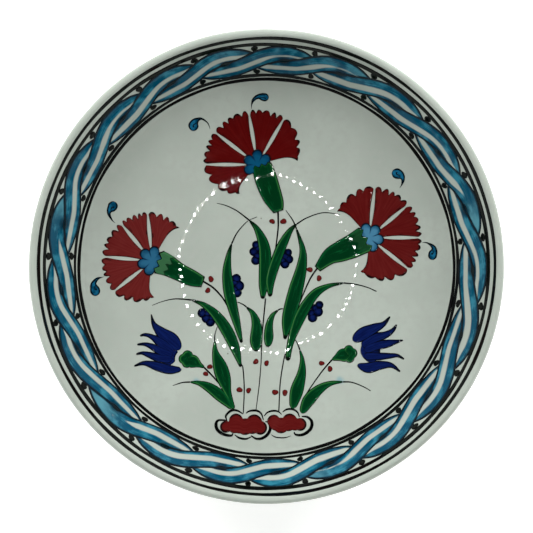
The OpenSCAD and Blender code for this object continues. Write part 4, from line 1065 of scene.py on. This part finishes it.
# Floor, lamps and camera
# A plain pale floor. A ring of small lamps hangs round the camera, which looks straight down, and four
# soft boxes light the plate from the sides, the two at the top of the picture more strongly.
lamp_n, lamp_ring_r, lamp_ring_c, lamp_level = 64, 0.1335, np.array([0.0009, -0.0033]), 0.744
lamp_r, floor_r = 0.0014, 8.0
box_reach, box_size, box_lean = 1.15, 0.55, np.radians(56)
box_powers = {45: 9.3, 135: 9.1, 225: 2.6, 315: 2.6}
camera_level, camera_lens, camera_sensor = 0.7442, 112.3, 36.0


def pale_floor(shade):
    """Sockets of a pale floor that also glows, so that it stays white round the plate."""
    tone = clouds(shade, 160.0).blend(pigment(248, 248, 247), pigment(251, 251, 251))
    return {"Base Color": tone, "Roughness": 0.9, "Emission Color": tone, "Emission Strength": 0.5}


def lamp_light(shade):
    """Sockets of a small bright lamp."""
    return {"Base Color": (0, 0, 0, 1), "Emission Color": (1.0, 0.99, 0.97, 1), "Emission Strength": 280.0}


def discs(name, places, radius, level, sides, finish):
    """Flat discs, each one face of many sides that looks up, or down where sides is negative."""
    turn = np.linspace(0, 2 * np.pi, abs(sides), endpoint=False) * np.sign(sides)
    rim = np.stack([np.cos(turn), np.sin(turn)], -1) * radius
    points = (np.asarray(places, float)[:, None] + rim).reshape(-1, 2)
    faces = np.arange(len(points)).reshape(-1, abs(sides))
    mesh = bpy.data.meshes.new(name)
    mesh.from_pydata(np.column_stack([points, np.full(len(points), level)]).tolist(), [], faces.tolist())
    mesh.materials.append(finish)
    made = bpy.data.objects.new(name, mesh)
    bpy.context.scene.collection.objects.link(made)


discs("floor", [(0, 0)], floor_r, 0.0, 96, material("pale_floor", pale_floor))
lamp_turn = np.linspace(0, 2 * np.pi, lamp_n, endpoint=False)
lamp_places = lamp_ring_c + lamp_ring_r * np.stack([np.cos(lamp_turn), np.sin(lamp_turn)], -1)
discs("ring_lamp", lamp_places, lamp_r, lamp_level, -12, material("lamp_light", lamp_light))

for k, (turn, power) in enumerate(box_powers.items()):
    light = bpy.data.lights.new(f"soft_box_{k}", "AREA")
    light.shape, light.size, light.energy = "SQUARE", box_size, power
    box = bpy.data.objects.new(light.name, light)
    around = np.radians(turn)
    aside = np.sin(box_lean)
    box.location = box_reach * np.array([aside * np.cos(around), aside * np.sin(around), np.cos(box_lean)])
    box.rotation_euler = (0, box_lean, around)
    box.visible_glossy = False
    bpy.context.scene.collection.objects.link(box)

world = bpy.data.worlds.new("studio")
world.use_nodes = True
world.node_tree.nodes.clear()
sky = Shade(world.node_tree)
upwards = sky.node("SeparateXYZ", {0: sky.node("TexCoord", out=0)}, out=2)
glow = upwards.step(0.05, 0.55).blend((0.8, 0.81, 0.81, 1), (0.02, 0.02, 0.02, 1))
sky.node("OutputWorld", {"Surface": sky.node("Background", {"Color": glow, "Strength": 1.0})})
bpy.context.scene.world = world

bpy.context.scene.view_settings.view_transform = "Standard"
camera = bpy.data.objects.new("camera", bpy.data.cameras.new("camera"))
camera.data.lens, camera.data.sensor_width = camera_lens, camera_sensor
camera.location = (0, 0, camera_level)
bpy.context.scene.collection.objects.link(camera)
bpy.context.scene.camera = camera
